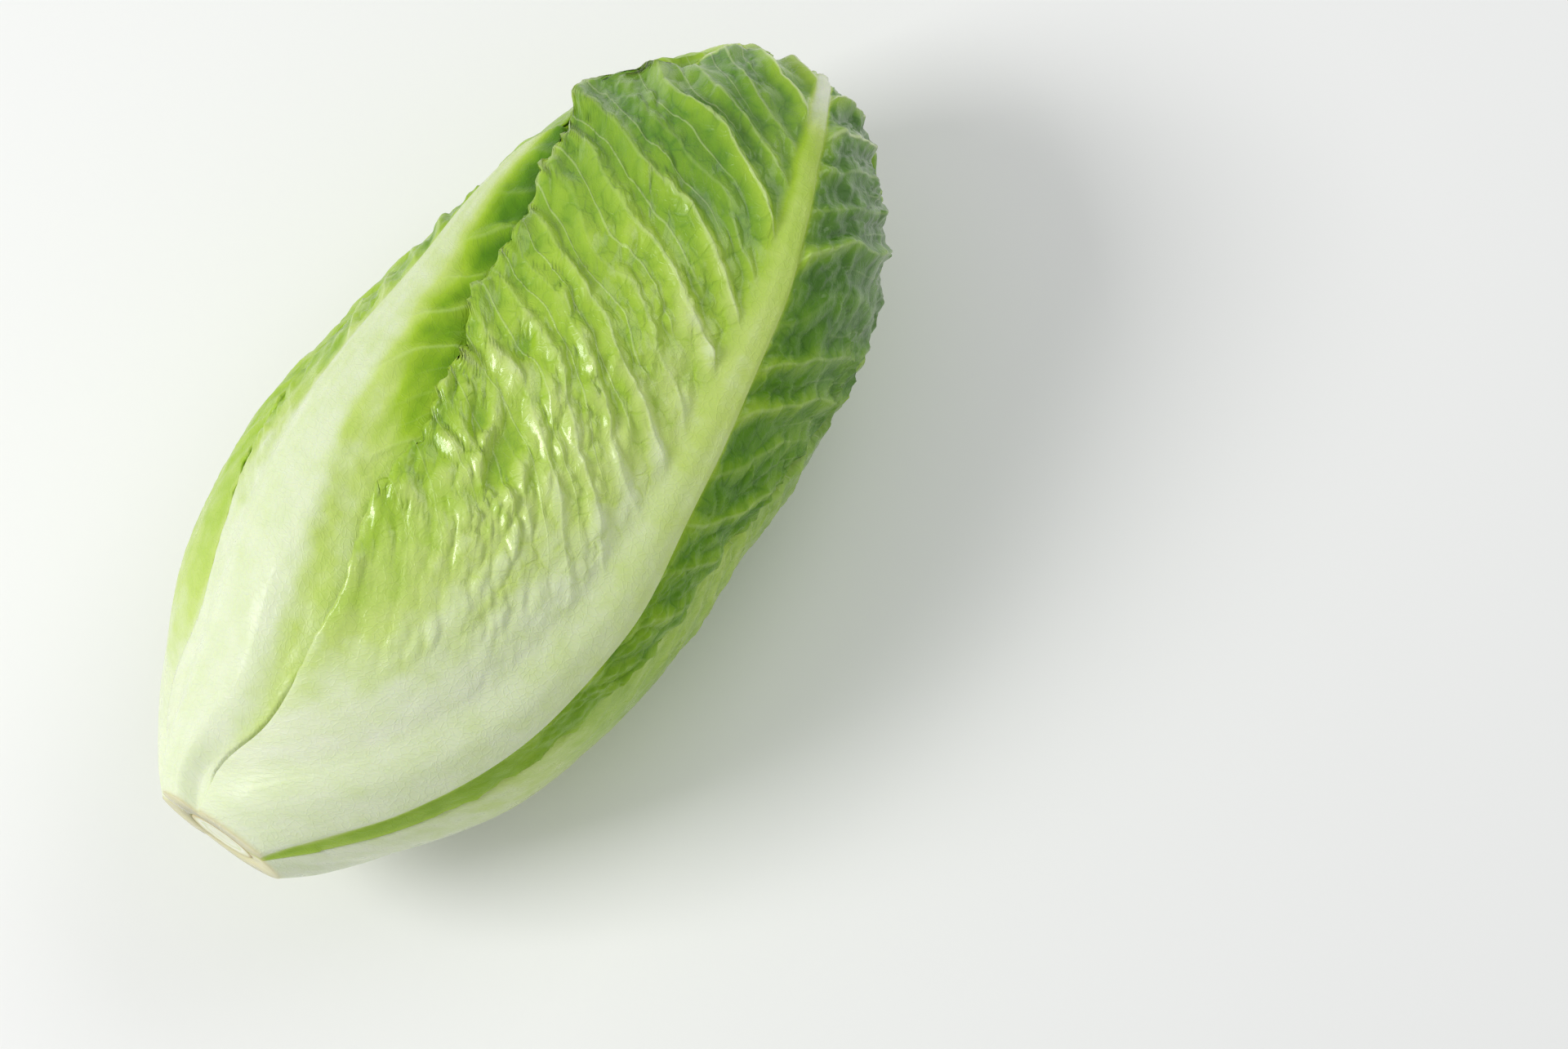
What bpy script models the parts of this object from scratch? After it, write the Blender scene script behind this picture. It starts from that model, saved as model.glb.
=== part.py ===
"""A head of romaine lettuce, cut from its root and lying on its side.

The head points along +X, with the cut butt at -X and the leaf tips at +X. Its under leaf rests at Z = 0.
Every leaf lies in one shared set of coordinates: a place along the head (0 at the butt, 1 at the tip), an angle
round it (0 is up, positive turns towards -Y), and a height above the hollow at the head's middle. The leaves are
laid from the outside inwards, and each one is kept under the inner faces of all that came before.
"""

import math

import bmesh
import bpy
import numpy as np
from mathutils import Vector

# Driving dimensions in metres
MM = 0.001
BUTT_X = -0.1179
MIDDLE_Y = 0.0045
SECTION_SQUASH = 0.93
FLAT_DEPTH = 0.0025
LEAF_GAP = 0.0011
INNER_LEAF_GAP = 0.0015
STEM_GAP = 0.0004
GOLDEN_ANGLE = 137.5

# Outer face of the closed head: distance from the butt and radius, in millimetres
OUTER_PROFILE = (
    (0, 13.5), (9, 23), (23, 35), (42, 46.4), (62, 52.9), (90, 56), (118, 55.1), (156, 51),
    (188, 45.4), (206, 37.8), (219, 28.2), (229.5, 17), (235, 6.5),
)
# Hollow at the middle, which holds the stem and the heart bud, in millimetres
INNER_PROFILE = (
    (0, 8.6), (10, 10), (20, 10.5), (34, 9.5), (52, 8.5), (75, 9), (100, 9.5), (130, 9.5),
    (160, 8), (180, 6), (192, 4.5), (199, 3), (203, 1.5),
)
# How far the head's middle line bends towards -Y: distance from the butt and shift, in millimetres
BEND = ((0, 0), (45, 3.6), (85, 4.6), (140, 7.8), (180, 9.4), (215, 8.6), (240, 8.4))

# Cells of the map on which the leaves are stacked
PLACE_CELLS = 150
ANGLE_CELLS = 240
HEADROOM = 0.006
EASING = 0.005
INNER_EASING = 0.008
FLOOR_SNAP = 1e-6
# How far a leaf keeps the ones inside it down beyond its side edges and its upper edge
COVER_BESIDE = 0.0035
COVER_BEYOND = 0.014
# Columns of an outer leaf's grid crowd towards its midrib by this power
RIB_CROWDING = 1.45
# Up to this place the outer leaves' bases stand side by side on the stem
SIDE_BY_SIDE = 0.05

OUTER_BLADE = 0.0008
INNER_BLADE = 0.0007
THINNEST = 0.0006
TOOTH = 0.0012
VEIN_SPACING = 0.0135
VEIN_RISE = 0.0012
WAVE_LENGTH = 0.021
KEEL_WIDTH = 0.016

LEAF_GREEN = (0.29, 0.48, 0.07)
HEART_GREEN = (0.60, 0.71, 0.24)
STEM_WHITE = (0.78, 0.83, 0.62)


def clear_scene():
    for old in list(bpy.data.objects):
        bpy.data.objects.remove(old, do_unlink=True)
    for old in list(bpy.data.meshes):
        bpy.data.meshes.remove(old)


def make_material(name, colour, roughness):
    material = bpy.data.materials.new(name)
    material.use_nodes = True
    shader = material.node_tree.nodes["Principled BSDF"]
    shader.inputs["Base Color"].default_value = (*colour, 1.0)
    shader.inputs["Roughness"].default_value = roughness
    shader.inputs["Metallic"].default_value = 0.0
    return material


def smooth_curve(points, steps=12):
    """Points on a Catmull-Rom curve through the given ones, with steps points for each stretch."""
    given = np.array(points, dtype=float)
    ends = np.vstack([2 * given[0] - given[1], given, 2 * given[-1] - given[-2]])
    t = np.linspace(0, 1, steps, endpoint=False)[:, None]
    pieces = []
    for a, b, c, d in zip(ends[:-3], ends[1:-2], ends[2:-1], ends[3:]):
        bent = (2 * a - 5 * b + 4 * c - d) * t**2 + (3 * b - a - 3 * c + d) * t**3
        pieces.append(0.5 * (2 * b + (c - a) * t + bent))
    return np.vstack([*pieces, given[-1:]])


def ease(low, high, value):
    """0 below low, 1 above high, and a smooth S between them."""
    t = np.clip((value - low) / (high - low), 0, 1)
    return t * t * (3 - 2 * t)


# The two profiles share one place: 0 to 1 by length along the outer one
outer_curve = smooth_curve(OUTER_PROFILE) * MM
inner_curve = smooth_curve(INNER_PROFILE) * MM
bend_curve = smooth_curve(BEND) * MM
walked = np.concatenate([[0], np.cumsum(np.hypot(*np.diff(outer_curve, axis=0).T))])
PROFILE_LENGTH = walked[-1]
profile_place = walked / PROFILE_LENGTH
MIDDLE_HEIGHT = SECTION_SQUASH * outer_curve[:, 1].max() - FLAT_DEPTH


def profiles(place):
    """Inner x and radius, and outer x and radius, at a place along the head."""
    tables = (inner_curve[:, 0], inner_curve[:, 1], outer_curve[:, 0], outer_curve[:, 1])
    return [np.interp(place, profile_place, table) for table in tables]


def span(place):
    """Distance from the hollow to the outer face."""
    x0, r0, x1, r1 = profiles(place)
    return np.hypot(x1 - x0, r1 - r0)


def head_point(place, angle, height):
    """World x, y, z of a place, an angle and a height above the hollow."""
    x0, r0, x1, r1 = profiles(place)
    share = height / span(place)
    x = x0 + share * (x1 - x0)
    radius = r0 + share * (r1 - r0)
    bend = np.interp(x, bend_curve[:, 0], bend_curve[:, 1])
    return (
        x + BUTT_X,
        MIDDLE_Y - radius * np.sin(angle) - bend,
        MIDDLE_HEIGHT + SECTION_SQUASH * radius * np.cos(angle),
    )


def floor_height(place, angle):
    """Height above the hollow at which a point meets Z = 0. It is far off on the upper side."""
    x0, r0, x1, r1 = profiles(place)
    down = np.maximum(-np.cos(angle), 0.2)
    radius = MIDDLE_HEIGHT / (SECTION_SQUASH * down)
    return (radius - r0) / np.maximum(r1 - r0, 1e-4) * span(place)


cell_places = (np.arange(PLACE_CELLS) + 0.5) / PLACE_CELLS
cell_angles = (np.arange(ANGLE_CELLS) + 0.5) / ANGLE_CELLS * 2 * math.pi - math.pi
map_places, map_angles = np.meshgrid(cell_places, cell_angles, indexing="ij")
cell_radius = profiles(cell_places)[3]
across_cell = (2 * math.pi / ANGLE_CELLS * cell_radius)[:, None]
along_cell = PROFILE_LENGTH / PLACE_CELLS


def map_value(field, place, angle):
    """A map's value between its cells, round the head without a seam."""
    row = np.clip(place * PLACE_CELLS - 0.5, 0, PLACE_CELLS - 1.001)
    column = ((angle + math.pi) / (2 * math.pi) * ANGLE_CELLS - 0.5) % ANGLE_CELLS
    r = row.astype(int)
    c = column.astype(int) % ANGLE_CELLS
    r_part = row - r
    c_part = column - np.floor(column)
    c_next = (c + 1) % ANGLE_CELLS
    near = field[r, c] * (1 - c_part) + field[r, c_next] * c_part
    far = field[r + 1, c] * (1 - c_part) + field[r + 1, c_next] * c_part
    return near * (1 - r_part) + far * r_part


def shifted_rows(field, step):
    """The map moved along the head by whole cells, with its end rows repeated."""
    rows = np.clip(np.arange(PLACE_CELLS) + step, 0, PLACE_CELLS - 1)
    return field[rows]


def eased_cover(cover, reach):
    """Lowest cover within reach, then its mean within reach: smooth, and never above the cover."""
    most = int(min(reach / across_cell.min(), ANGLE_CELLS / 3)) + 1
    low = cover.copy()
    for k in range(1, most):
        near = k * across_cell <= reach + 0.5 * across_cell
        beside = np.minimum(np.roll(cover, k, axis=1), np.roll(cover, -k, axis=1))
        low = np.where(near, np.minimum(low, beside), low)
    rows = int(round(reach / along_cell))
    low = np.min([shifted_rows(low, k) for k in range(-rows, rows + 1)], axis=0)
    total = low.copy()
    count = np.ones_like(low)
    for k in range(1, most):
        near = k * across_cell <= reach + 0.5 * across_cell
        total += np.where(near, np.roll(low, k, axis=1) + np.roll(low, -k, axis=1), 0)
        count += np.where(near, 2, 0)
    mean = total / count
    return np.mean([shifted_rows(mean, k) for k in range(-rows, rows + 1)], axis=0)


def vein_rise(width):
    """How far a side vein has climbed at a distance from the midrib."""
    return 0.25 * width + 6.5 * width**2


class Leaf:
    """One leaf: where its edges and midrib run, how high it lies, and how thick its rib is.

    rows holds (place, left edge, midrib, right edge), with the angles in degrees.
    """

    def __init__(
        self, name, rows, level, blade, rib_width, rib_height, grid, round_tip, waves,
        curls=(), tuck=0.0, keel=0.0, attach=0.0,
    ):
        self.name = name
        line = smooth_curve(rows)
        self.places = line[:, 0]
        self.left, self.middle, self.right = np.radians(line[:, 1:]).T
        self.start = rows[0][0]
        self.tip = rows[-1][0]
        self.level = level
        self.blade = blade
        self.rib_width = rib_width
        self.rib_height = rib_height
        self.grid = grid
        self.round_tip = round_tip
        self.waves = waves
        self.curls = curls
        self.tuck = tuck
        self.keel = keel
        self.attach = attach
        self.outside = self.start == 0
        self.on_floor = name == "under_leaf"

    def edges(self, place):
        return [np.interp(place, self.places, line) for line in (self.left, self.middle, self.right)]

    def across(self, place, angle):
        """-1 at the left edge, 0 on the midrib, 1 at the right edge."""
        left, middle, right = self.edges(place)
        turn = (angle - middle + math.pi) % (2 * math.pi) - math.pi
        return np.where(turn < 0, turn / (middle - left), turn / (right - middle))

    def angle(self, place, across):
        left, middle, right = self.edges(place)
        return np.where(across < 0, middle + across * (middle - left), middle + across * (right - middle))

    def end(self, across):
        """Place of the leaf's upper edge, which rounds off towards its sides."""
        return self.tip - self.round_tip * np.abs(across) ** 3

    def width(self, place, angle):
        """Distance from the midrib, in metres."""
        middle = self.edges(place)[1]
        turn = (angle - middle + math.pi) % (2 * math.pi) - math.pi
        return np.abs(turn) * profiles(place)[3]

    def along(self, place):
        return (place - self.start) / (self.tip - self.start)

    def rib(self, place, angle):
        """Height of the midrib on the outer face: broad and flat at the base, fine at the tip."""
        t = np.clip(self.along(place), 0, 1)
        half = self.rib_width * (0.14 + 0.86 * (1 - t) ** 1.9)
        tall = self.rib_height * (0.22 + 0.78 * (1 - t) ** 1.2)
        w = self.width(place, angle) / half
        return tall * (1 - ease(0.3, 1.25, w))

    def veins(self, place, angle):
        """Side veins that arch up and out from the midrib, as ridges on the outer face."""
        w = self.width(place, angle)
        v = np.abs(self.across(place, angle))
        up = (place - self.start) * PROFILE_LENGTH - vein_rise(w)
        ridge = 0.5 + 0.5 * np.cos(2 * math.pi * up / VEIN_SPACING)
        clear_of_rib = ease(0.3, 1.0, w / (self.rib_width * 0.6))
        fade = ease(0.12, 0.5, self.along(place)) * (1 - ease(0.75, 1.0, v))
        return VEIN_RISE * ridge * clear_of_rib * fade

    def ruffle(self, place, angle):
        """Waves that lift the edge, stronger near the tip."""
        v = np.abs(self.across(place, angle))
        t = self.along(place)
        side = np.sign(self.across(place, angle))
        walk = place * PROFILE_LENGTH / WAVE_LENGTH * 2 * math.pi
        swing = 0.5 + 0.35 * np.sin(walk + 1.9 * side) + 0.15 * np.sin(1.7 * walk + 40 * self.start)
        lift = self.waves * swing * (0.35 + 0.65 * ease(0.3, 0.9, t)) * ease(0.12, 0.3, t)
        for where, which, reach, rise in self.curls:
            lift = lift + rise * np.exp(-(((place - where) / reach) ** 2)) * (side == which)
        tuck = self.tuck * (1 - ease(0.35, 0.6, t))
        return (lift - tuck) * ease(0.70, 1.0, v)

    def wanted_height(self, place, angle):
        """Outer face where no other leaf presses on it."""
        reach = span(place)
        risen = ease(0, 1, (place - self.start) / max(self.attach, 1e-6)) if self.attach else 1.0
        base = self.level * reach * risen
        foot = (self.blade + self.rib_height * 0.6 + STEM_GAP) * (1 - risen)
        t = self.along(place)
        crest = ease(0.15, 0.45, t) * (1 - ease(0.72, 1.0, t))
        ridge = self.keel * np.exp(-self.width(place, angle) / KEEL_WIDTH) * crest
        raised = self.rib(place, angle) * 0.75 + self.veins(place, angle) + self.ruffle(place, angle)
        return base + foot + ridge + raised

    def thickness(self, place, angle):
        return self.blade + self.rib(place, angle) + self.veins(place, angle)

    def covers(self, place, angle):
        v = np.abs(self.across(place, angle))
        margin = 1 + COVER_BESIDE / np.maximum(profiles(place)[3], 0.004)
        ended = place <= self.end(np.clip(v, 0, 1)) + COVER_BEYOND
        return (v <= margin) & (place >= self.start - 0.02) & ended


def outer_leaves():
    """The four leaves that the eye sees, placed and shaped from the photo."""
    front = Leaf(
        "front_leaf",
        (
            (0.0, -14, 34, 67), (0.03, -14, 40, 70), (0.055, -13, 45, 72), (0.11, -2, 54, 72), (0.17, -1, 58, 70.5),
            (0.24, -4, 59.5, 70), (0.31, -8, 59, 70.5), (0.38, -11, 57, 71.5), (0.46, -15, 50.5, 73), (0.54, -25, 46, 77),
            (0.62, -33, 41.5, 86), (0.69, -41, 37.5, 98), (0.745, -54, 32.5, 102), (0.785, -63, 29.5, 105),
            (0.82, -60, 27, 106), (0.86, -53, 25.5, 105), (0.91, -48, 23, 101), (0.96, -44, 21.5, 94), (1.0, -38, 20, 84),
        ),
        1.0, OUTER_BLADE, 0.0165, 0.0050, (44, 16), 0.03, 0.0026, curls=((0.77, -1, 0.035, 0.0016),), keel=0.0042,
    )
    back_left = Leaf(
        "back_left_leaf",
        (
            (0.0, -153, -118, -86), (0.03, -153, -116, -86), (0.055, -153, -114, -81), (0.12, -152, -110, -62),
            (0.18, -152, -108, -50), (0.25, -152, -106, -52), (0.31, -152, -106, -58), (0.38, -152, -106, -64),
            (0.48, -152, -107, -69), (0.60, -154, -108, -69), (0.70, -156, -107, -62), (0.80, -160, -104, -45),
            (0.90, -164, -101, -34), (0.975, -166, -98, -26),
        ),
        1.0, OUTER_BLADE, 0.0155, 0.0048, (42, 12), 0.045, 0.0016, tuck=0.0014, keel=0.002,
    )
    left = Leaf(
        "left_leaf",
        (
            (0.0, -83, -46, -16.4), (0.03, -83, -41, -16), (0.055, -84, -36, -12), (0.12, -92, -27.5, 8),
            (0.22, -98, -29, 14), (0.34, -100, -35, 12), (0.46, -99, -40.5, 8), (0.55, -97, -45, 0),
            (0.64, -96, -55, -10), (0.72, -96, -62, -20), (0.80, -98, -68, -30), (0.90, -102, -78, -48),
        ),
        0.985, OUTER_BLADE, 0.0175, 0.0054, (40, 14), 0.03, 0.0024, keel=0.0032,
    )
    under = Leaf(
        "under_leaf",
        (
            (0.0, 70, 134, 204), (0.03, 73, 135, 204), (0.055, 70, 137, 207), (0.12, 62, 142, 220),
            (0.22, 56, 150, 228), (0.36, 58, 158, 232), (0.50, 62, 163, 234), (0.64, 74, 166, 234),
            (0.76, 82, 168, 234), (0.86, 90, 168, 236), (0.975, 108, 168, 232),
        ),
        0.99, OUTER_BLADE, 0.0155, 0.0040, (42, 14), 0.04, 0.0022,
    )
    return [front, back_left, left, under]


def spiral_leaves(names, first_turn, levels, starts, tips, half_spread, rib, grid, waves):
    """Leaves of one size that follow each other round the stem by the golden angle."""
    leaves = []
    for k, (name, level, start, tip) in enumerate(zip(names, levels, starts, tips)):
        centre = (first_turn + GOLDEN_ANGLE * k + 180) % 360 - 180
        rows = []
        for t in (0, 0.15, 0.35, 0.6, 0.8, 1.0):
            spread = half_spread * (0.62 + 0.38 * math.sin(math.pi * min(t * 1.15, 1) ** 0.8) - 0.12 * t)
            rows.append((start + (tip - start) * t, centre - spread, centre, centre + spread))
        leaves.append(
            Leaf(name, tuple(rows), level, INNER_BLADE, rib, rib * 0.24, grid, 0.05, waves, attach=0.24)
        )
    return leaves


def inner_leaves():
    middle = spiral_leaves(
        [f"middle_leaf_{k}" for k in (1, 2, 3, 4, 5)],
        96, (0.94, 0.87, 0.79, 0.70, 0.60), (0.08, 0.093, 0.106, 0.119, 0.132),
        (0.995, 0.99, 0.98, 0.965, 0.95), 78, 0.010, (16, 12), 0.0018,
    )
    heart = spiral_leaves(
        [f"heart_leaf_{k}" for k in (1, 2, 3)],
        63, (0.49, 0.37, 0.25), (0.145, 0.163, 0.181), (0.90, 0.87, 0.83), 84, 0.007, (12, 8), 0.0014,
    )
    return middle + heart


def leaf_grid(leaf):
    """Place and angle of each corner of a leaf's grid, whose rows follow the side veins."""
    rows, columns = leaf.grid
    spread = np.linspace(-1, 1, columns + 1)
    crowding = RIB_CROWDING if leaf.outside else 1.0
    across, along = np.meshgrid(np.sign(spread) * np.abs(spread) ** crowding, np.linspace(0, 1, rows + 1))
    level_place = leaf.start + (leaf.end(across) - leaf.start) * along
    climb = ease(0.0, 0.3, along) * (1 - ease(0.66, 1.0, along)) / PROFILE_LENGTH
    place = level_place
    for _ in range(5):
        place = level_place + climb * vein_rise(leaf.width(place, leaf.angle(place, across)))
    angle = leaf.angle(place, across)
    tooth = np.where(np.arange(rows + 1) % 2 == 0, TOOTH, -TOOTH)[:, None] * ease(0.1, 0.25, along)
    at_edge = np.isclose(np.abs(across), 1)
    turn = np.sign(across) * tooth / np.maximum(profiles(place)[3], 0.012)
    return place, angle + np.where(at_edge, turn, 0)


def sheet_faces(rows, columns):
    """Triangles of a closed sheet: outer face, inner face with the same split, and the rim between them."""
    corner = np.arange((rows + 1) * (columns + 1)).reshape(rows + 1, columns + 1)
    a, b, c, d = corner[:-1, :-1], corner[:-1, 1:], corner[1:, 1:], corner[1:, :-1]
    falling = np.stack([np.stack([a, b, d], -1), np.stack([b, c, d], -1)], 2)
    rising = np.stack([np.stack([a, b, c], -1), np.stack([a, c, d], -1)], 2)
    left_half = (np.arange(columns) < columns // 2)[None, :, None, None]
    outer = np.where(left_half, falling, rising).reshape(-1, 3)
    inner = outer[:, ::-1] + corner.size
    edge = np.concatenate([corner[0, :-1], corner[:-1, -1], corner[-1, :0:-1], corner[:0:-1, 0]])
    after = np.roll(edge, -1)
    rim = np.concatenate([
        np.stack([edge, edge + corner.size, after], -1),
        np.stack([after, edge + corner.size, after + corner.size], -1),
    ])
    return np.concatenate([outer, inner, rim])


def leaf_object(leaf, cover, material, collection):
    """Lays one leaf under the cover, makes its solid, and lowers the cover to its inner face."""
    if leaf.outside:
        apart = 4 * HEADROOM * (1 - ease(0.6 * SIDE_BY_SIDE, SIDE_BY_SIDE, map_places))
        limit = eased_cover(cover, EASING) - LEAF_GAP + apart
    else:
        limit = eased_cover(cover, INNER_EASING) - INNER_LEAF_GAP

    def faces_at(place, angle, under_cover):
        """Heights of the outer and inner faces."""
        outer = np.minimum(leaf.wanted_height(place, angle), under_cover)
        outer = np.minimum(outer, floor_height(place, angle) - (0 if leaf.on_floor else LEAF_GAP))
        room = np.maximum(outer - STEM_GAP, THINNEST)
        wall = np.minimum(leaf.thickness(place, angle), room)
        if leaf.outside:
            wall = np.maximum(wall, room * (1 - ease(0.3 * SIDE_BY_SIDE, SIDE_BY_SIDE, place)))
        return outer, outer - wall

    place, angle = leaf_grid(leaf)
    heights = faces_at(place, angle, map_value(limit, place, angle))
    points = np.concatenate([np.stack(head_point(place, angle, h), axis=-1).reshape(-1, 3) for h in heights])
    points[np.abs(points[:, 2]) < FLOOR_SNAP, 2] = 0
    mesh = bpy.data.meshes.new(leaf.name)
    mesh.from_pydata(points.tolist(), [], sheet_faces(*leaf.grid).tolist())
    mesh.materials.append(material)
    mesh.shade_smooth()
    mesh.set_sharp_from_angle(angle=math.radians(50))
    collection.objects.link(bpy.data.objects.new(leaf.name, mesh))

    below = faces_at(map_places, map_angles, limit)[1]
    return np.where(leaf.covers(map_places, map_angles), np.minimum(cover, below), cover)


def stem_object(material, collection):
    """The cut stem: a short tapering stub, turned round the head's middle line."""
    outline = ((0, 0), (0, 8.45), (3, 8.9), (9, 9.3), (16, 8.7), (21, 7.1), (27, 5.5), (37, 4.5), (47, 3.7), (54, 0))
    turned_solid("stem", outline, 28, material, collection)


def heart_bud_object(material, collection):
    """The folded heart bud: a spindle with the ridges of its wrapped leaves winding round it."""
    outline = (
        (56, 0), (60, 4), (70, 6.5), (88, 8), (110, 8.6), (132, 8.4), (152, 7.2), (168, 5.4), (180, 3), (186, 0),
    )
    obj = turned_solid("heart_bud", outline, 28, material, collection)
    work = bmesh.new()
    work.from_mesh(obj.data)
    for vertex in work.verts:
        x = vertex.co.x - BUTT_X
        middle = middle_line(x)
        arm = vertex.co - middle
        turn = math.atan2(arm.y, arm.z)
        fold = 0.5 + 0.5 * math.sin(3 * turn + x / 0.022)
        vertex.co = middle + arm * (1 - 0.12 * fold)
    work.to_mesh(obj.data)
    work.free()


def middle_line(x):
    """Point of the head's bent middle line at a distance from the butt."""
    bend = float(np.interp(x, bend_curve[:, 0], bend_curve[:, 1]))
    return Vector((x + BUTT_X, MIDDLE_Y - bend, MIDDLE_HEIGHT))


def turned_solid(name, outline, steps, material, collection):
    """A solid turned from (distance from the butt, radius) in millimetres, then laid along the middle line."""
    profile = np.array(outline) * MM
    mesh = bpy.data.meshes.new(name)
    points = [(x, 0, radius) for x, radius in profile[::-1]]
    mesh.from_pydata(points, [(k, k + 1) for k in range(len(points) - 1)], [])
    draft = bpy.data.objects.new(name, mesh)
    collection.objects.link(draft)
    screw = draft.modifiers.new("turn", "SCREW")
    screw.axis = "X"
    screw.steps = steps
    screw.render_steps = steps
    screw.use_merge_vertices = True
    screw.merge_threshold = 0.00001
    screw.use_normal_calculate = True
    shape = bpy.data.meshes.new_from_object(draft.evaluated_get(bpy.context.evaluated_depsgraph_get()))
    bpy.data.objects.remove(draft, do_unlink=True)
    work = bmesh.new()
    work.from_mesh(shape)
    bmesh.ops.remove_doubles(work, verts=work.verts, dist=0.00001)
    for vertex in work.verts:
        x = vertex.co.x
        vertex.co.z *= SECTION_SQUASH
        vertex.co = middle_line(x) + Vector((0, vertex.co.y, vertex.co.z))
    bmesh.ops.recalc_face_normals(work, faces=work.faces)
    bmesh.ops.triangulate(work, faces=work.faces)
    work.to_mesh(shape)
    work.free()
    shape.name = name
    shape.materials.append(material)
    shape.shade_smooth()
    shape.set_sharp_from_angle(angle=math.radians(40))
    obj = bpy.data.objects.new(name, shape)
    collection.objects.link(obj)
    return obj


def main():
    clear_scene()
    head = bpy.data.collections.new("romaine_lettuce")
    bpy.context.scene.collection.children.link(head)
    green = make_material("leaf_green", LEAF_GREEN, 0.42)
    heart = make_material("heart_green", HEART_GREEN, 0.45)
    white = make_material("stem_white", STEM_WHITE, 0.5)
    cover = np.tile((span(cell_places) + HEADROOM)[:, None], (1, ANGLE_CELLS))
    for leaf in outer_leaves():
        cover = leaf_object(leaf, cover, green, head)
    for leaf in inner_leaves():
        cover = leaf_object(leaf, cover, heart, head)
    stem_object(white, head)
    heart_bud_object(heart, head)


main()
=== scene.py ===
# %% [markdown]
# # A head of romaine lettuce
# A romaine head is a short white stem with long leaves that wrap round each other. The four outer leaves
# show, each with a thick pale midrib and side veins, and paler, smaller leaves fill the inside. Such a head
# could be sculpted by hand or grown from particles. Here each leaf is a sheet worked out with numpy from
# one formula, so that it nests under its neighbours, and its veins, puckers and colours all read the same
# leaf coordinates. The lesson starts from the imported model, which is the fixed frame.

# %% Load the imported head
import math
from types import SimpleNamespace

import bpy
import numpy as np
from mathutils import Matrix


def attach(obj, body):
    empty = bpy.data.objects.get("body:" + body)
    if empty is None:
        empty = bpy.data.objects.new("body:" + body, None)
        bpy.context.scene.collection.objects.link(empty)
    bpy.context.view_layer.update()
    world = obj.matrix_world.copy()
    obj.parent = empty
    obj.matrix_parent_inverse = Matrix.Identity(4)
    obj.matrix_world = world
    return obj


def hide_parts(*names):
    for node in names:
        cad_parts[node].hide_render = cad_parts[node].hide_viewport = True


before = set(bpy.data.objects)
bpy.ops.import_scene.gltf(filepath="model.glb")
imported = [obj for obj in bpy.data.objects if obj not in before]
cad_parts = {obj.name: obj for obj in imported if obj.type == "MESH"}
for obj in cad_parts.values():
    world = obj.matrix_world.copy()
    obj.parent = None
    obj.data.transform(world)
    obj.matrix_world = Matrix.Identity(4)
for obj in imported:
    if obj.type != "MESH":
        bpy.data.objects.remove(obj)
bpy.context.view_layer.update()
MM = 0.001

# %% [markdown]
# ## Curves that lead the eye
# Every outline of a head is a slow curve, so a few measured points are enough. They could be joined by
# straight lines or by a Bezier curve with handles. A Catmull-Rom curve passes through its points and needs
# no handles.

# %% Smooth curves and smooth steps


def smooth_curve(points, steps=12):
    """Points on a Catmull-Rom curve through the given ones, with steps points for each stretch."""
    given = np.array(points, dtype=float)
    ends = np.vstack([2 * given[0] - given[1], given, 2 * given[-1] - given[-2]])
    t = np.linspace(0, 1, steps, endpoint=False)[:, None]
    pieces = []
    for a, b, c, d in zip(ends[:-3], ends[1:-2], ends[2:-1], ends[3:]):
        bent = (2 * a - 5 * b + 4 * c - d) * t**2 + (3 * b - a - 3 * c + d) * t**3
        pieces.append(0.5 * (2 * b + (c - a) * t + bent))
    return np.vstack([*pieces, given[-1:]])


def ease(low, high, value):
    """0 below low, 1 above high, and 3t^2 - 2t^3 between them."""
    t = np.clip((value - low) / (high - low), 0, 1)
    return t * t * (3 - 2 * t)


def bell(value, middle, reach):
    """1 at the middle, falling as exp(-d^2) with the distance over the reach."""
    return np.exp(-(((value - middle) / reach) ** 2))


# %% [markdown]
# ## One set of coordinates for all leaves
# On a real head every leaf starts on the stem and presses on the next. A point of any leaf is given here by
# its place along the head (0 at the cut butt, 1 at the tip), its angle round it (0 is up) and its height
# above the hollow at the middle. Separate curves for each leaf would need fitting; shared coordinates nest
# by themselves.

# %% The head's profiles
BUTT_X = -0.1179
MIDDLE_Y = 0.0045
SECTION_SQUASH = 0.93
FLAT_DEPTH = 0.0025
# Distance from the butt and radius in mm, of the outer face and of the hollow at the middle.
OUTER_PROFILE = (
    (0, 13.5), (9, 23), (23, 35), (42, 46.4), (62, 52.9), (90, 56), (118, 55.1), (156, 51),
    (188, 45.4), (206, 37.8), (219, 28.2), (229.5, 17), (235, 6.5),
)
INNER_PROFILE = (
    (0, 8.6), (10, 10), (20, 10.5), (34, 9.5), (52, 8.5), (75, 9), (100, 9.5), (130, 9.5),
    (160, 8), (180, 6), (192, 4.5), (199, 3), (203, 1.5),
)
# Distance from the butt and sideways bend in mm.
BEND = ((0, 0), (45, 3.6), (85, 4.6), (140, 7.8), (180, 9.4), (215, 8.6), (240, 8.4))

outer_curve = smooth_curve(OUTER_PROFILE) * MM
inner_curve = smooth_curve(INNER_PROFILE) * MM
bend_curve = smooth_curve(BEND) * MM
walked = np.concatenate([[0], np.cumsum(np.hypot(*np.diff(outer_curve, axis=0).T))])
PROFILE_LENGTH = walked[-1]
MIDDLE_HEIGHT = SECTION_SQUASH * outer_curve[:, 1].max() - FLAT_DEPTH
print("length of the profile in mm:", round(PROFILE_LENGTH / MM, 1))

# %% From leaf coordinates to the world


def profiles(place):
    """Inner x and radius, and outer x and radius, at a place along the head."""
    tables = (inner_curve[:, 0], inner_curve[:, 1], outer_curve[:, 0], outer_curve[:, 1])
    return [np.interp(place, walked / PROFILE_LENGTH, table) for table in tables]


def span(place):
    """Distance from the hollow to the outer face."""
    x0, r0, x1, r1 = profiles(place)
    return np.hypot(x1 - x0, r1 - r0)


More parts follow.
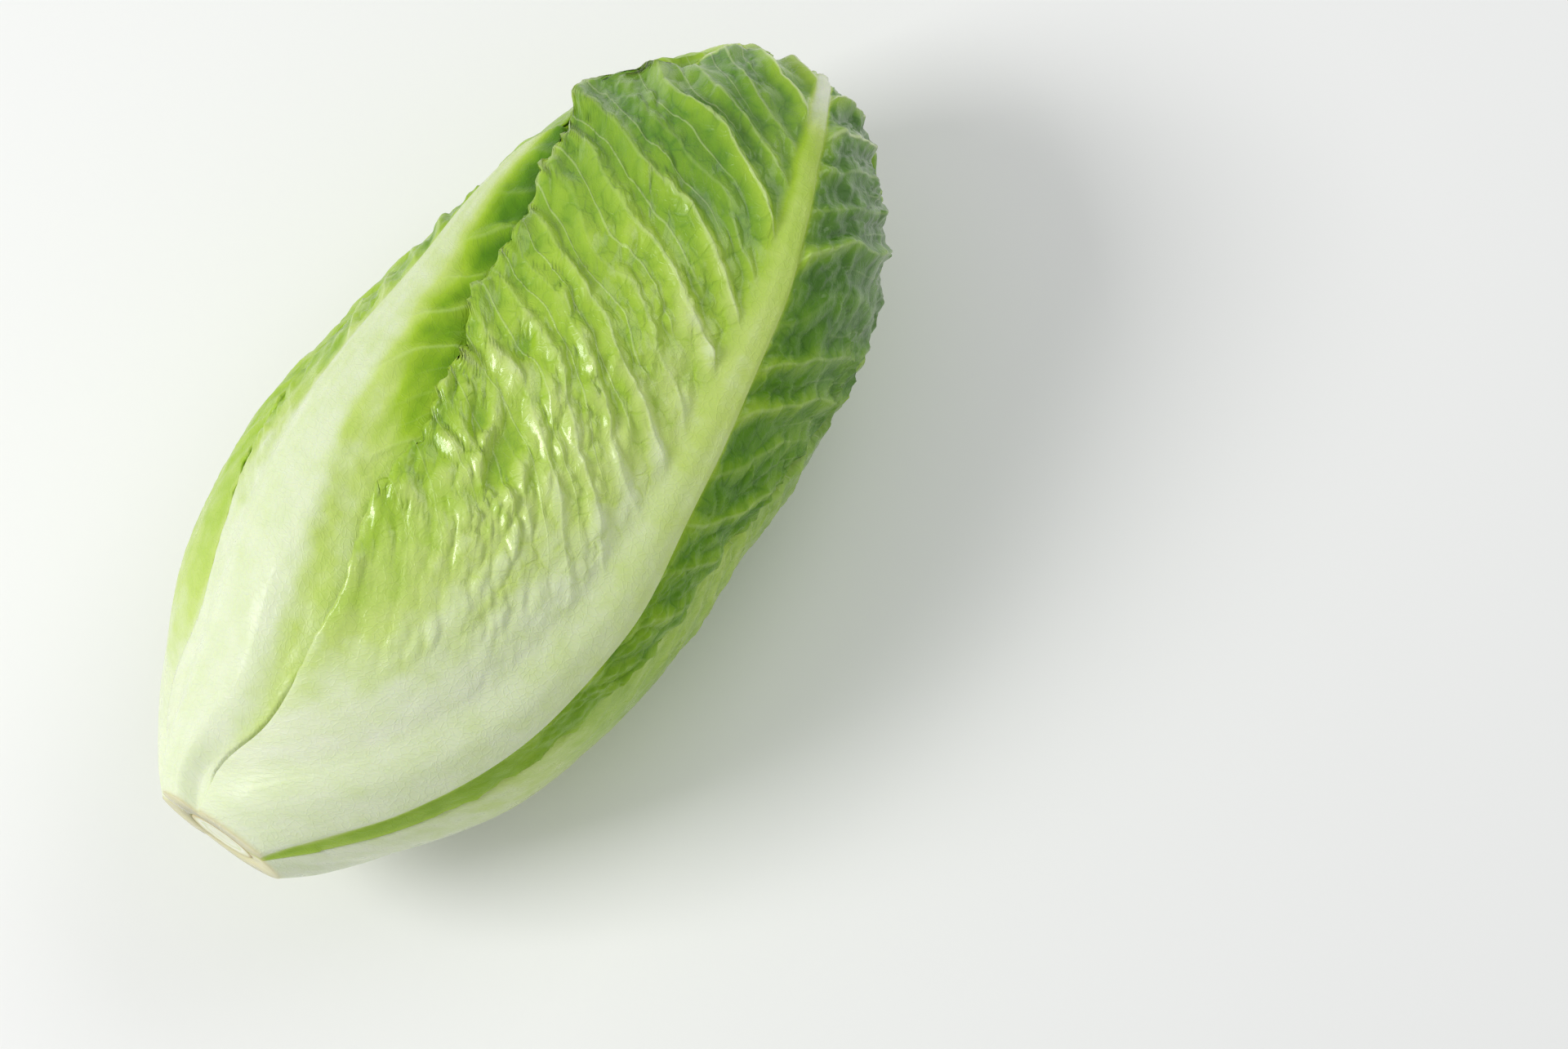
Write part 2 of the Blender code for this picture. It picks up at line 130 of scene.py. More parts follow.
def section_point(x, radius, angle):
    """x, y, z on a flattened round section at x from the butt, about the bent middle line."""
    bend = np.interp(x, bend_curve[:, 0], bend_curve[:, 1])
    y = MIDDLE_Y - radius * np.sin(angle) - bend
    z = MIDDLE_HEIGHT + SECTION_SQUASH * radius * np.cos(angle)
    return np.stack([x + BUTT_X, y, z], axis=-1)


def head_point(place, angle, height):
    """x, y, z: along the line from the inner to the outer profile by height, turned by angle."""
    x0, r0, x1, r1 = profiles(place)
    share = height / span(place)
    return section_point(x0 + share * (x1 - x0), r0 + share * (r1 - r0), angle)


def floor_height(place, angle):
    """Height above the hollow at which a point meets Z = 0. It is far off on the upper side."""
    x0, r0, x1, r1 = profiles(place)
    down = np.maximum(-np.cos(angle), 0.2)
    radius = MIDDLE_HEIGHT / (SECTION_SQUASH * down)
    return (radius - r0) / np.maximum(r1 - r0, 1e-4) * span(place)


# %% [markdown]
# ## Leaves press on each other
# A leaf that lies under another is flattened by it. This could be found by cloth simulation. Here a map of
# the head keeps the lowest inner face so far, and each new leaf stays a little below it. The map is eased,
# so that the edge of the leaf above makes a soft dent and not a step.

# %% The map of what covers each spot
PLACE_CELLS = 235
ANGLE_CELLS = 360
LEAF_GAP = 0.0005
INNER_LEAF_GAP = 0.0012
STEM_GAP = 0.0004
HEADROOM = 0.006
EASING = 0.0012
INNER_EASING = 0.008
SIDE_BY_SIDE = 0.05
COVER_BESIDE = 0.0006
cell_places = (np.arange(PLACE_CELLS) + 0.5) / PLACE_CELLS
cell_angles = (np.arange(ANGLE_CELLS) + 0.5) / ANGLE_CELLS * 2 * math.pi - math.pi
map_places, map_angles = np.meshgrid(cell_places, cell_angles, indexing="ij")
across_cell = (2 * math.pi / ANGLE_CELLS * profiles(cell_places)[3])[:, None]
along_cell = PROFILE_LENGTH / PLACE_CELLS


def map_value(field, place, angle):
    """The map between its cells: bilinear, and round the head without a seam."""
    row = np.clip(place * PLACE_CELLS - 0.5, 0, PLACE_CELLS - 1.001)
    column = ((angle + math.pi) / (2 * math.pi) * ANGLE_CELLS - 0.5) % ANGLE_CELLS
    r, c = row.astype(int), column.astype(int) % ANGLE_CELLS
    r_part, c_part = row - r, column - np.floor(column)
    c_next = (c + 1) % ANGLE_CELLS
    near = field[r, c] * (1 - c_part) + field[r, c_next] * c_part
    far = field[r + 1, c] * (1 - c_part) + field[r + 1, c_next] * c_part
    return near * (1 - r_part) + far * r_part


def eased_cover(cover, reach):
    """Lowest cover within reach, then its mean within reach: smooth, and never above the cover."""
    most = int(min(reach / across_cell.min(), ANGLE_CELLS / 3)) + 1
    rows = int(round(reach / along_cell))
    shifts = [np.clip(np.arange(PLACE_CELLS) + k, 0, PLACE_CELLS - 1) for k in range(-rows, rows + 1)]
    steps = [(k, k * across_cell <= reach + 0.5 * across_cell) for k in range(1, most)]
    low = cover.copy()
    for k, near in steps:
        beside = np.minimum(np.roll(cover, k, axis=1), np.roll(cover, -k, axis=1))
        low = np.where(near, np.minimum(low, beside), low)
    low = np.min([low[shift] for shift in shifts], axis=0)
    total, count = low.copy(), np.ones_like(low)
    for k, near in steps:
        total += np.where(near, np.roll(low, k, axis=1) + np.roll(low, -k, axis=1), 0)
        count += np.where(near, 2, 0)
    mean = total / count
    return np.mean([mean[shift] for shift in shifts], axis=0)


# %% [markdown]
# ## What a leaf is
# A leaf is told by where its left edge, midrib and right edge run, in degrees at places along the head.
# Everything else follows from the distance to the midrib, the way along it and the distance to the margin,
# and from a few facts. What a leaf doesn't name is as on a plain leaf.

# %% One leaf's lines
OUTER_BLADE = 0.0008
INNER_BLADE = 0.0007
THINNEST = 0.0005
PLAIN_LEAF = dict(
    # how thick it is, where it lies, how far its foot reaches
    blade=OUTER_BLADE, outside=True, on_floor=False, attach=0.0,
    # its margin: curls at named places, tucked in or rolled out by so many metres, share of frill
    curls=(), tuck=0.0, lip=0.0, frill=1.0,
    # how the sheet stands: keel, settled lower, falling to the right, girth of the midrib
    keel=0.0, settle=0.0, fall=0.0, rib_body=(1.0, 1.0),
    # hollows: share of pillows with a pit, single dimples, the deepest of any
    pits=0.0, dimples=(), deepest=-0.0006,
    # shifts of its greenness: right side darker, partly as painted shade; lit left side paler, partly as
    # painted light; flank painted in shade; paler rim; midrib border
    dark_side=0.0, pale_side=0.0, flank_tone=0.0, rim_tone=0.0, rib_soft=(0.4, 0.4),
)


def new_leaf(name, rows, **facts):
    """A leaf from rows of (place, left edge, midrib, right edge), with the angles in degrees."""
    line = smooth_curve(rows)
    left, middle, right = np.radians(line[:, 1:]).T
    return SimpleNamespace(
        name=name, places=line[:, 0], left=left, middle=middle, right=right,
        start=rows[0][0], tip=rows[-1][0], **{**PLAIN_LEAF, **facts},
    )


def lines_at(leaf, place):
    """Angles of the left edge, the midrib and the right edge at a place."""
    return [np.interp(place, leaf.places, line) for line in (leaf.left, leaf.middle, leaf.right)]


def across_at(leaf, place, angle):
    """-1 at the left edge, 0 on the midrib, 1 at the right edge."""
    left, middle, right = lines_at(leaf, place)
    turn = (angle - middle + math.pi) % (2 * math.pi) - math.pi
    return np.where(turn < 0, turn / (middle - left), turn / (right - middle))


def angle_at(leaf, place, across):
    """The angle that across_at turns into this number."""
    left, middle, right = lines_at(leaf, place)
    return np.where(across < 0, middle + across * (middle - left), middle + across * (right - middle))


def end_at(leaf, across):
    """Place of the leaf's upper edge, which rounds off by the cube of the way to its sides."""
    return leaf.tip - leaf.round_tip * np.abs(across) ** 3


def along_at(leaf, place):
    """0 at the leaf's foot, 1 at its tip."""
    return (place - leaf.start) / (leaf.tip - leaf.start)


def sideways(leaf, place, angle):
    """Signed distance from the midrib in metres: angle from it times the outer radius."""
    turn = (angle - lines_at(leaf, place)[1] + math.pi) % (2 * math.pi) - math.pi
    return turn * profiles(place)[3]


def to_margin(leaf, place, angle):
    """Distance to the nearer edge in metres, also over the leaf's rounded end."""
    left, middle, right = lines_at(leaf, place)
    across = across_at(leaf, place, angle)
    half = np.where(across < 0, middle - left, right - middle) * profiles(place)[3]
    beside = (1 - np.abs(across)) * half
    above = (end_at(leaf, across) - place) * PROFILE_LENGTH
    return np.maximum(np.minimum(beside, above), 0)


# %% [markdown]
# ## Noise for natural unevenness
# No two puckers of a leaf are alike. Blender's noise textures could displace a mesh, but here the same
# numbers also lead the colours, so the noise is worked out on the leaf's own millimetres, from fixed seeds.

# %% Soft noise and cells
LATTICE = 64


def soft_noise(x, y, seed):
    """Gradient noise from about -1 to 1: slopes at whole numbers, joined by 6t^5 - 15t^4 + 10t^3."""
    turn = np.random.default_rng(seed).uniform(0, 2 * math.pi, (LATTICE, LATTICE))
    xi, yi = np.floor(x).astype(int), np.floor(y).astype(int)
    xf, yf = x - xi, y - yi

    def slope(i, j):
        a = turn[(xi + i) % LATTICE, (yi + j) % LATTICE]
        return np.cos(a) * (xf - i) + np.sin(a) * (yf - j)

    u = xf**3 * (xf * (xf * 6 - 15) + 10)
    v = yf**3 * (yf * (yf * 6 - 15) + 10)
    low = slope(0, 0) * (1 - u) + slope(1, 0) * u
    high = slope(0, 1) * (1 - u) + slope(1, 1) * u
    return 1.5 * (low * (1 - v) + high * v)


def cells(x, y, seed):
    """One random point a unit square: distance to the nearest, gap to the next, the nearest's number."""
    spots = np.random.default_rng(seed).uniform(0.1, 0.9, (3, LATTICE, LATTICE))
    xi, yi = np.floor(x).astype(int), np.floor(y).astype(int)
    first = np.full(x.shape, 9.0)
    second = first.copy()
    own = np.zeros(x.shape)
    for i in (-1, 0, 1):
        for j in (-1, 0, 1):
            px, py, number = spots[:, (xi + i) % LATTICE, (yi + j) % LATTICE]
            d = np.hypot(xi + i + px - x, yi + j + py - y)
            second = np.minimum(second, np.maximum(first, d))
            own = np.where(d < first, number, own)
            first = np.minimum(first, d)
    return first, second - first, own


# %% [markdown]
# ## The midrib and the keel
# The midrib is nearly as thick as a finger at the base and fades to a fine line at the tip. On the outside
# of a head it stands proud, and the blade is folded along it like a keel. It could be a separate tube, but
# it is one tissue with the blade, so it is a swelling of the sheet.

# %% How high a leaf wants to lie
KEEL_WIDTH = 0.016
WAVE_LENGTH = 0.021


def beyond_rib(leaf, t, w):
    """Distance from the midrib over its half width there, which five values in mm give from base to tip."""
    half_left, half_right = [np.interp(t, (0, 0.25, 0.5, 0.75, 1.0), row) * MM for row in leaf.rib_look]
    return np.where(w < 0, -w / half_left, w / half_right)


def rib_height(leaf, place, angle):
    """Height of the midrib: rounded, eased off at its sides by rib_body, lower to the tip."""
    t = np.clip(along_at(leaf, place), 0, 1)
    tall = leaf.rib_height * (0.24 + 0.76 * (1 - t) ** 1.2)
    w = sideways(leaf, place, angle)
    body = 1 + (np.where(w < 0, *leaf.rib_body) - 1) * ease(0.03, 0.16, t)
    return tall * (1 - ease(0.35, 1.15, beyond_rib(leaf, t, w) / body))


def ruffle(leaf, place, angle):
    """Slow waves that lift the edge, stronger near the tip, plus a leaf's own curls and less its tuck."""
    across = across_at(leaf, place, angle)
    side, v, t = np.sign(across), np.abs(across), along_at(leaf, place)
    walk = place * PROFILE_LENGTH / WAVE_LENGTH * 2 * math.pi
    swing = 0.5 + 0.35 * np.sin(walk + 1.9 * side) + 0.15 * np.sin(1.7 * walk + 40 * leaf.start)
    lift = leaf.waves * swing * (0.35 + 0.65 * ease(0.3, 0.9, t)) * ease(0.12, 0.3, t)
    for where, which, reach, rise in leaf.curls:
        lift = lift + rise * bell(place, where, reach) * (side == which)
    return (lift - leaf.tuck * (1 - ease(0.55, 0.8, t))) * ease(0.70, 1.0, v)


def wanted_height(leaf, place, angle):
    """Level share of the span, less settle and fall, plus the foot, keel, midrib and ruffle."""
    t = along_at(leaf, place)
    w = sideways(leaf, place, angle)
    risen = ease(0, 1, (place - leaf.start) / leaf.attach) if leaf.attach else 1.0
    foot = (leaf.blade + leaf.rib_height * 0.6 + STEM_GAP) * (1 - risen)
    crest = ease(0.15, 0.45, t) * (1 - ease(0.72, 1.0, t))
    keel = leaf.keel * np.exp(-np.abs(w) / KEEL_WIDTH) * crest
    fall = leaf.fall * ease(0.0, 0.030, w) * ease(0.14, 0.28, t)
    base = leaf.level * span(place) * risen + foot + keel - leaf.settle * ease(0.2, 0.85, t) - fall
    return base + 0.75 * rib_height(leaf, place, angle) + ruffle(leaf, place, angle)


# %% [markdown]
# ## Side veins and puckers
# Side veins leave the midrib at a slant, about 14 mm apart, and arch towards the tip. Each has its own
# strength. Between them the blade is puckered into small pillows, strongest in the middle of the leaf. A
# brush could sculpt them, or a texture could fake them by bump. Here they are heights added to the sheet, in
# the leaf's own coordinates, so that light and outline both show them.

# %% The way the side veins run
VEIN_SPACING = 0.0135


def vein_number(s, w, seed):
    """Which side vein a point is on: (way along - lean times w + bow times w^2) over the spacing."""
    reach = np.abs(w)
    up_leaf = s / PROFILE_LENGTH
    lean = 1.15 - 0.20 * up_leaf
    bow = -2.0 + 8.0 * ease(0.25, 0.75, up_leaf)
    stray = 0.0048 * soft_noise(s / 0.034, w / 0.030, seed)
    stray = stray + 0.0022 * soft_noise(s / 0.013, w / 0.013, seed + 1)
    return (s + stray - lean * reach + bow * reach**2) / VEIN_SPACING


# %% Veins, pillows and dimples as fields
PILLOW_WIDTH, PILLOWS_TO_A_VEIN = 0.0074, 1.9
SMALL_WIDTH, SMALL_TO_A_VEIN = 0.0032, 4.4
DIMPLE_SLANT = 0.35


def dimple_at(leaf, place, angle):
    """exp(-d^3) round each spot that a leaf names: place, degrees, half length and width in mm."""
    dimple = 0 * place
    for spot_place, spot_angle, long_mm, wide_mm in leaf.dimples:
        up_leaf = (place - spot_place) * PROFILE_LENGTH
        beside = (angle - math.radians(spot_angle)) * profiles(place)[3] + DIMPLE_SLANT * up_leaf
        away = np.hypot(up_leaf / (long_mm * MM), beside / (wide_mm * MM))
        dimple = np.maximum(dimple, np.exp(-(away**3)))
    return dimple


def surface_fields(leaf, place, angle):
    """What leads relief and colour: s, w and margin in metres, the rest from 0 to about 1."""
    f = SimpleNamespace(s=(place - leaf.start) * PROFILE_LENGTH, w=sideways(leaf, place, angle))
    s, w = f.s, f.w
    f.t = np.clip(along_at(leaf, place), 0, 1)
    f.margin = to_margin(leaf, place, angle)
    f.clear = ease(0.75, 1.35, beyond_rib(leaf, f.t, w))

    f.number = vein_number(s, w, leaf.seed)
    strengths = np.random.default_rng(leaf.seed + 17).uniform(0.25, 1.3, 64)
    f.own_strength = strengths[np.round(f.number).astype(int) % 64]
    f.grown = f.clear * ease(0.22, 0.55, f.t)
    f.off_rib = ease(0.012, 0.026, np.abs(w))
    shown = f.grown * ease(0.0, 0.006, f.margin) * f.own_strength
    off_line = np.abs((f.number + 0.5) % 1 - 0.5)
    f.line = bell(off_line, 0, 0.085) * shown
    f.twig = bell(f.number % 1, 0.5, 0.06) * shown * f.off_rib
    f.hill = (0.5 + 0.5 * np.cos(2 * math.pi * off_line)) ** 1.8 * shown

    bent = 0.45 * soft_noise(s / 0.011, w / 0.011, leaf.seed + 2)
    slant = 0.5 * (s / VEIN_SPACING + f.number)
    near, border, own = cells(slant * PILLOWS_TO_A_VEIN + bent, w / PILLOW_WIDTH + bent, leaf.seed + 3)
    small_near, _, small_own = cells(slant * SMALL_TO_A_VEIN + bent, w / SMALL_WIDTH - bent, leaf.seed + 4)
    f.dimple = dimple_at(leaf, place, angle)
    f.pillow = bell(near, 0, 0.45) * (0.12 + 0.88 * own**1.5) * (1 - f.dimple)
    f.pit = np.clip(1 - 2.0 * near, 0, 1) * (own < leaf.pits)
    f.crease = bell(border, 0, 0.15)
    patch = np.clip(0.55 + 1.0 * soft_noise(s / 0.020, w / 0.016, leaf.seed + 15), 0.1, 1.5)
    f.small = bell(small_near, 0, 0.42) * (0.2 + 0.8 * small_own) * patch
    f.crumple = f.clear * ease(0.12, 0.40, f.t) * leaf.crumple(w, f.t)
    f.swell = soft_noise(s / 0.038, w / 0.030, leaf.seed + 5)
    return f


# %% Heights of the relief
VEIN_RISE = 0.0012
PILLOW_RISE, SMALL_RISE = 0.0024, 0.0018
CREASE_DEPTH, PIT_DEPTH, DIMPLE_DEPTH = 0.0003, 0.0030, 0.0038
SWELL_RISE = 0.0011
FRILL_RISE, FRILL_REACH, FRILL_LENGTH = 0.0012, 0.007, 0.0075
GROOVE_DEPTH, GROOVE_SPACING = 0.00008, 0.0014
LIP_REACH = 0.009


def relief(leaf, f):
    """Height added to the sheet: veins, puckers less hollows, slow swells, a frilled rim, grooves."""
    veins = (0.18 + 2.10 * f.t**2) * f.hill + 0.26 * f.line + 0.14 * f.twig
    height = VEIN_RISE * leaf.vein_strength * veins
    puckers = PILLOW_RISE * f.pillow - CREASE_DEPTH * f.crease + SMALL_RISE * f.small - PIT_DEPTH * f.pit
    height = height + f.crumple * puckers - DIMPLE_DEPTH * f.dimple
    height = height + SWELL_RISE * f.swell * f.clear * ease(0.1, 0.3, f.t)
    frill = soft_noise(f.s / FRILL_LENGTH, f.w / 0.05, leaf.seed + 6)
    frill = frill * (1 - ease(0.0, FRILL_REACH, f.margin))
    frilled = ease(0.12, 0.24, f.t) * (1 - 0.6 * ease(0.86, 0.96, f.t))
    height = height + leaf.frill * FRILL_RISE * (1 + f.t) * frill * frilled
    grooves = soft_noise(f.w / GROOVE_SPACING, f.s / 0.06, leaf.seed + 7) * (1 - f.clear)
    return np.maximum(height + GROOVE_DEPTH * grooves, leaf.deepest)


def lifted_lip(leaf, f):
    """How far the left margin curls away from the leaf below: (1 - way in)^1.5 within the lip's reach."""
    rolled = (1 - ease(0.0, LIP_REACH, f.margin)) ** 1.5 * (f.w < 0)
    return leaf.lip * rolled * ease(0.10, 0.22, f.t) * (1 - ease(0.80, 0.90, f.t))


# %% [markdown]
# ## From a grid to a closed leaf
# A leaf's grid has rows that climb with its side veins and columns that crowd towards its midrib. Its
# margin is cut into small uneven teeth. A Solidify modifier could give it thickness, but the leaf bases
# fill the space down to the stem, so both faces are worked out and joined by a rim.

# %% The grid of a leaf, with its teeth
TOOTH_SPACING = 0.0052
TOOTH_DEPTH = 0.0025
MARGIN_STRAY = 0.0030
TOP_STRAY = 0.0010


def teeth(leaf, s, side):
    """Outward reach of the margin: uneven points, (1 - |2u - 1|)^1.5, whose spacing and size stray."""
    stray = s / TOOTH_SPACING + 0.35 * soft_noise(s / 0.008, side * 7.3, leaf.seed + 8)
    u = stray % 1
    sizes = np.random.default_rng(leaf.seed + 9).uniform(0.25, 1.0, 128)
    size = sizes[(np.floor(stray).astype(int) + 40 + 30 * (side > 0)) % 128]
    slow = MARGIN_STRAY * soft_noise(s / 0.019, side * 3.1, leaf.seed + 10)
    return TOOTH_DEPTH * size * (1 - np.abs(2 * u - 1)) ** 1.5 - 0.5 * TOOTH_DEPTH + slow


def leaf_grid(leaf):
    """Place and angle of each corner: rows climb by 0.25 w + 6.5 w^2, which five rounds of this settle."""
    rows, columns = leaf.grid
    spread = np.linspace(-1, 1, columns + 1)
    across, along = np.meshgrid(np.sign(spread) * np.abs(spread) ** 1.12, np.linspace(0, 1, rows + 1))
    level_place = leaf.start + (end_at(leaf, across) - leaf.start) * along
    climb = ease(0.0, 0.3, along) * (1 - ease(0.66, 1.0, along)) / PROFILE_LENGTH
    place = level_place
    for _ in range(5):
        width = np.abs(sideways(leaf, place, angle_at(leaf, place, across)))
        place = level_place + climb * (0.25 * width + 6.5 * width**2)
    side = np.sign(across)
    reach = teeth(leaf, (place - leaf.start) * PROFILE_LENGTH, side) * ease(0.1, 0.25, along)
    push = side * reach / np.maximum(profiles(place)[3], 0.012) * ease(0.86, 1.0, np.abs(across)) ** 1.5
    top = TOP_STRAY * soft_noise(across * 9.0, along * 3.0, leaf.seed + 11) * ease(0.93, 1.0, along)
    return place + top / PROFILE_LENGTH, angle_at(leaf, place, across) + push


def sheet_faces(rows, columns):
    """Triangles of a closed sheet: outer face, inner face with the same split, and the rim between them."""
    corner = np.arange((rows + 1) * (columns + 1)).reshape(rows + 1, columns + 1)
    a, b, c, d = corner[:-1, :-1], corner[:-1, 1:], corner[1:, 1:], corner[1:, :-1]
    falling = np.stack([np.stack([a, b, d], -1), np.stack([b, c, d], -1)], 2)
    rising = np.stack([np.stack([a, b, c], -1), np.stack([a, c, d], -1)], 2)
    left_half = (np.arange(columns) < columns // 2)[None, :, None, None]
    outer = np.where(left_half, falling, rising).reshape(-1, 3)
    inner = outer[:, ::-1] + corner.size
    edge = np.concatenate([corner[0, :-1], corner[:-1, -1], corner[-1, :0:-1], corner[:0:-1, 0]])
    after = np.roll(edge, -1)
    down, down_after = edge + corner.size, after + corner.size
    rim = np.concatenate([np.stack([edge, down, after], -1), np.stack([after, down, down_after], -1)])
    return np.concatenate([outer, inner, rim])


# %% Put arrays into a mesh


def new_piece(name, points, faces, material, fields):
    """A mesh object at the origin, smooth, with one attribute for each field."""
    mesh = bpy.data.meshes.new(name)
    mesh.vertices.add(len(points))
    mesh.vertices.foreach_set("co", points.astype(np.float32).ravel())
    mesh.loops.add(faces.size)
    mesh.loops.foreach_set("vertex_index", faces.astype(np.int32).ravel())
    mesh.polygons.add(len(faces))
    mesh.polygons.foreach_set("loop_start", np.arange(0, faces.size, 3, dtype=np.int32))
    mesh.update(calc_edges=True)
    mesh.validate()
    for field, values in fields.items():
        kind, key = ("FLOAT_VECTOR", "vector") if values.ndim == 2 else ("FLOAT", "value")
        store = mesh.attributes.new(field, kind, "POINT")
        store.data.foreach_set(key, values.astype(np.float32).ravel())
    mesh.materials.append(material)
    mesh.shade_smooth()
    piece = bpy.data.objects.new(name, mesh)
    bpy.context.scene.collection.objects.link(piece)
    print(name, "triangles:", len(mesh.polygons))
    return piece


# %% [markdown]
# ## Leaf tissue
# A lettuce leaf is thin wet tissue under a film of wax. Light enters it and comes out a little further on,
# so its green glows and its shadows stay soft, and the wax gives small sharp glints. A leaf could be given
# a painted picture. Here its colour comes from one number that each point carries, from white at the base
# to dark green at the tip. Side veins are drawn paler over it, and a broken net of fine creases is painted
# darker in them as shade, in the leaf's own millimetres.

# %% Colours and nodes


def linear(hex_colour):
    """Linear red, green, blue and alpha 1 from an sRGB hex value."""
    levels = [int(hex_colour[k : k + 2], 16) / 255 for k in (1, 3, 5)]
    return (*(v / 12.92 if v <= 0.04045 else ((v + 0.055) / 1.055) ** 2.4 for v in levels), 1.0)


def plug(tree, node, inputs):
    """Gives sockets of a node a value or another node's output."""
    for socket, value in inputs.items():
        if isinstance(value, bpy.types.NodeSocket):
            tree.links.new(value, node.inputs[socket])
        else:
            node.inputs[socket].default_value = value


def add(tree, kind, inputs, **settings):
    """Adds a node with its inputs plugged; settings are its properties."""
    new = tree.nodes.new(kind)
    for key, value in settings.items():
        setattr(new, key, value)
    plug(tree, new, inputs)
    return new


def new_material(name):
    """A material, its node tree and its Principled BSDF."""
    material = bpy.data.materials.new(name)
    material.use_nodes = True
    return material, material.node_tree, material.node_tree.nodes["Principled BSDF"]


def ramp_of(tree, value, stops):
    """Colour that a value picks from a ramp of (position, hex colour) stops."""
    ramp = add(tree, "ShaderNodeValToRGB", {"Fac": value})
    elements = ramp.color_ramp.elements
    while len(elements) < len(stops):
        elements.new(1.0)
    for element, (position, colour) in zip(elements, stops):
        element.position = position
        element.color = linear(colour)
    return ramp.outputs["Color"]


# %% The material of a leaf
NET_CELL, FINE_CELL, LINE_SHARE = 0.0042, 0.0016, 0.14
MOTTLE, STRAY_CELL, STRAY = 0.0060, 0.005, 0.0034
CUTICLE_GRAIN = 0.0007
VEIN_BUMP, FINE_BUMP, MOTTLE_BUMP, GRAIN_BUMP, CREASE_BUMP = 0.00045, 0.00005, 0.00030, 0.000035, 0.00016
DRIED_CUT = "#cfc08c"


def leaf_tissue(name, greens, pale, roughness, glow):
    """Waxy leaf: greenness leads the colour, with paler veins, creases painted darker as shade, bumps in
    tenths of a mm.
    """
    material, tree, shader = new_material(name)

    def read(field, output="Fac"):
        return add(tree, "ShaderNodeAttribute", {}, attribute_name=field).outputs[output]

    def math_of(operation, a, b):
        return add(tree, "ShaderNodeMath", {0: a, 1: b}, operation=operation).outputs[0]

    def noise(size, detail, output="Fac"):
        inputs = {"Vector": where, "Scale": 1 / size, "Detail": detail}
        return add(tree, "ShaderNodeTexNoise", inputs).outputs[output]

    def band(value, low, high, from_, to):
        inputs = {"Value": value, "From Min": low, "From Max": high, "To Min": from_, "To Max": to}
        return add(tree, "ShaderNodeMapRange", inputs, interpolation_type="SMOOTHSTEP").outputs["Result"]

    def mixed(share, under, over):
        return add(tree, "ShaderNodeMix", {0: share, 6: under, 7: over}, data_type="RGBA").outputs[2]

    # the net: edges of cells, bent so that they wander, shown only where the mottle lets them
    where = read("leaf", "Vector")
    mottle = noise(MOTTLE, 4.0)
    inputs = {0: noise(STRAY_CELL, 1.0, "Color"), 1: (STRAY,) * 3, 2: where}
    bent = add(tree, "ShaderNodeVectorMath", inputs, operation="MULTIPLY_ADD").outputs[0]
    lines = []
    for size in (NET_CELL, FINE_CELL):
        inputs = {"Vector": bent, "Scale": 1 / size}
        net = add(tree, "ShaderNodeTexVoronoi", inputs, feature="DISTANCE_TO_EDGE").outputs["Distance"]
        lines.append(band(net, 0.0, LINE_SHARE, 1.0, 0.0))
    broken = math_of("MULTIPLY", lines[0], band(mottle, 0.40, 0.62, 0.0, 1.0))
    creases = math_of("MULTIPLY", broken, read("net_shown"))

    # side veins lie at whole vein numbers, finer twigs half way between them
    number = read("vein_number")
    to_line = math_of("PINGPONG", number, 0.5)
    to_twig = math_of("PINGPONG", math_of("ADD", number, 0.5), 0.5)
    line = math_of("MULTIPLY", band(to_line, 0.010, 0.070, 0.30, 0.0), read("vein_shown"))
    twig = math_of("MULTIPLY", band(to_twig, 0.005, 0.035, 0.28, 0.0), read("twig_shown"))
    drawn = math_of("MAXIMUM", line, twig)

    green = math_of("ADD", read("green"), math_of("MULTIPLY", math_of("SUBTRACT", mottle, 0.5), 0.22))
    # painted shade: the green darkens along the crease net
    green = math_of("ADD", green, math_of("MULTIPLY", creases, 0.06))
    veined = mixed(drawn, ramp_of(tree, green, tuple(zip(STOP_PLACES, greens))), linear(pale))
    grain = noise(CUTICLE_GRAIN, 2.0)
    rough = band(math_of("ADD", mottle, math_of("MULTIPLY", grain, 0.2)), 0.35, 0.85, *roughness)
    height = math_of("MULTIPLY", drawn, VEIN_BUMP)
    heights = ((lines[1], FINE_BUMP), (mottle, MOTTLE_BUMP), (grain, GRAIN_BUMP), (creases, -CREASE_BUMP))
    for part, bump in heights:
        height = math_of("ADD", height, math_of("MULTIPLY", part, bump))
    bumps = add(tree, "ShaderNodeBump", {"Height": height, "Distance": 1.0, "Strength": 0.9})

    # wax: the glossier the blade, the more of a thin clear coat
    gloss = read("gloss")
    plug(tree, shader, {
        "Base Color": mixed(read("cut"), veined, linear(DRIED_CUT)),
        "Roughness": rough,
        "Normal": bumps.outputs["Normal"],
        "IOR": 1.42,
        "Specular IOR Level": band(gloss, 0.05, 0.5, 0.16, 0.45),
        "Coat Weight": gloss,
        "Coat Roughness": 0.12,
        "Subsurface Weight": glow,
        "Subsurface Radius": (0.8, 1.0, 0.25),
        "Subsurface Scale": 0.0012,
    })
    return material


# from white at 0 to the darkest green at 1
STOP_PLACES = (0.0, 0.16, 0.34, 0.52, 0.70, 0.86, 1.0)
OUTER_GREENS = ("#e6ebd4", "#d8e3b8", "#c0d573", "#a1c334", "#7fa81d", "#5a8a10", "#3f6f0a")
HEART_GREENS = ("#eef0d8", "#e6ecc4", "#dbe694", "#c8dc66", "#accc4a", "#8db53a", "#6f9c30")
# Outer leaves: saturated greens, small wet glints. Heart leaves: yellower, softer, more light through them.
outer_tissue = leaf_tissue("waxy_outer_leaf", OUTER_GREENS, "#dbe9ae", (0.24, 0.46), 0.20)
heart_tissue = leaf_tissue("tender_heart_leaf", HEART_GREENS, "#eef2cc", (0.30, 0.50), 0.30)
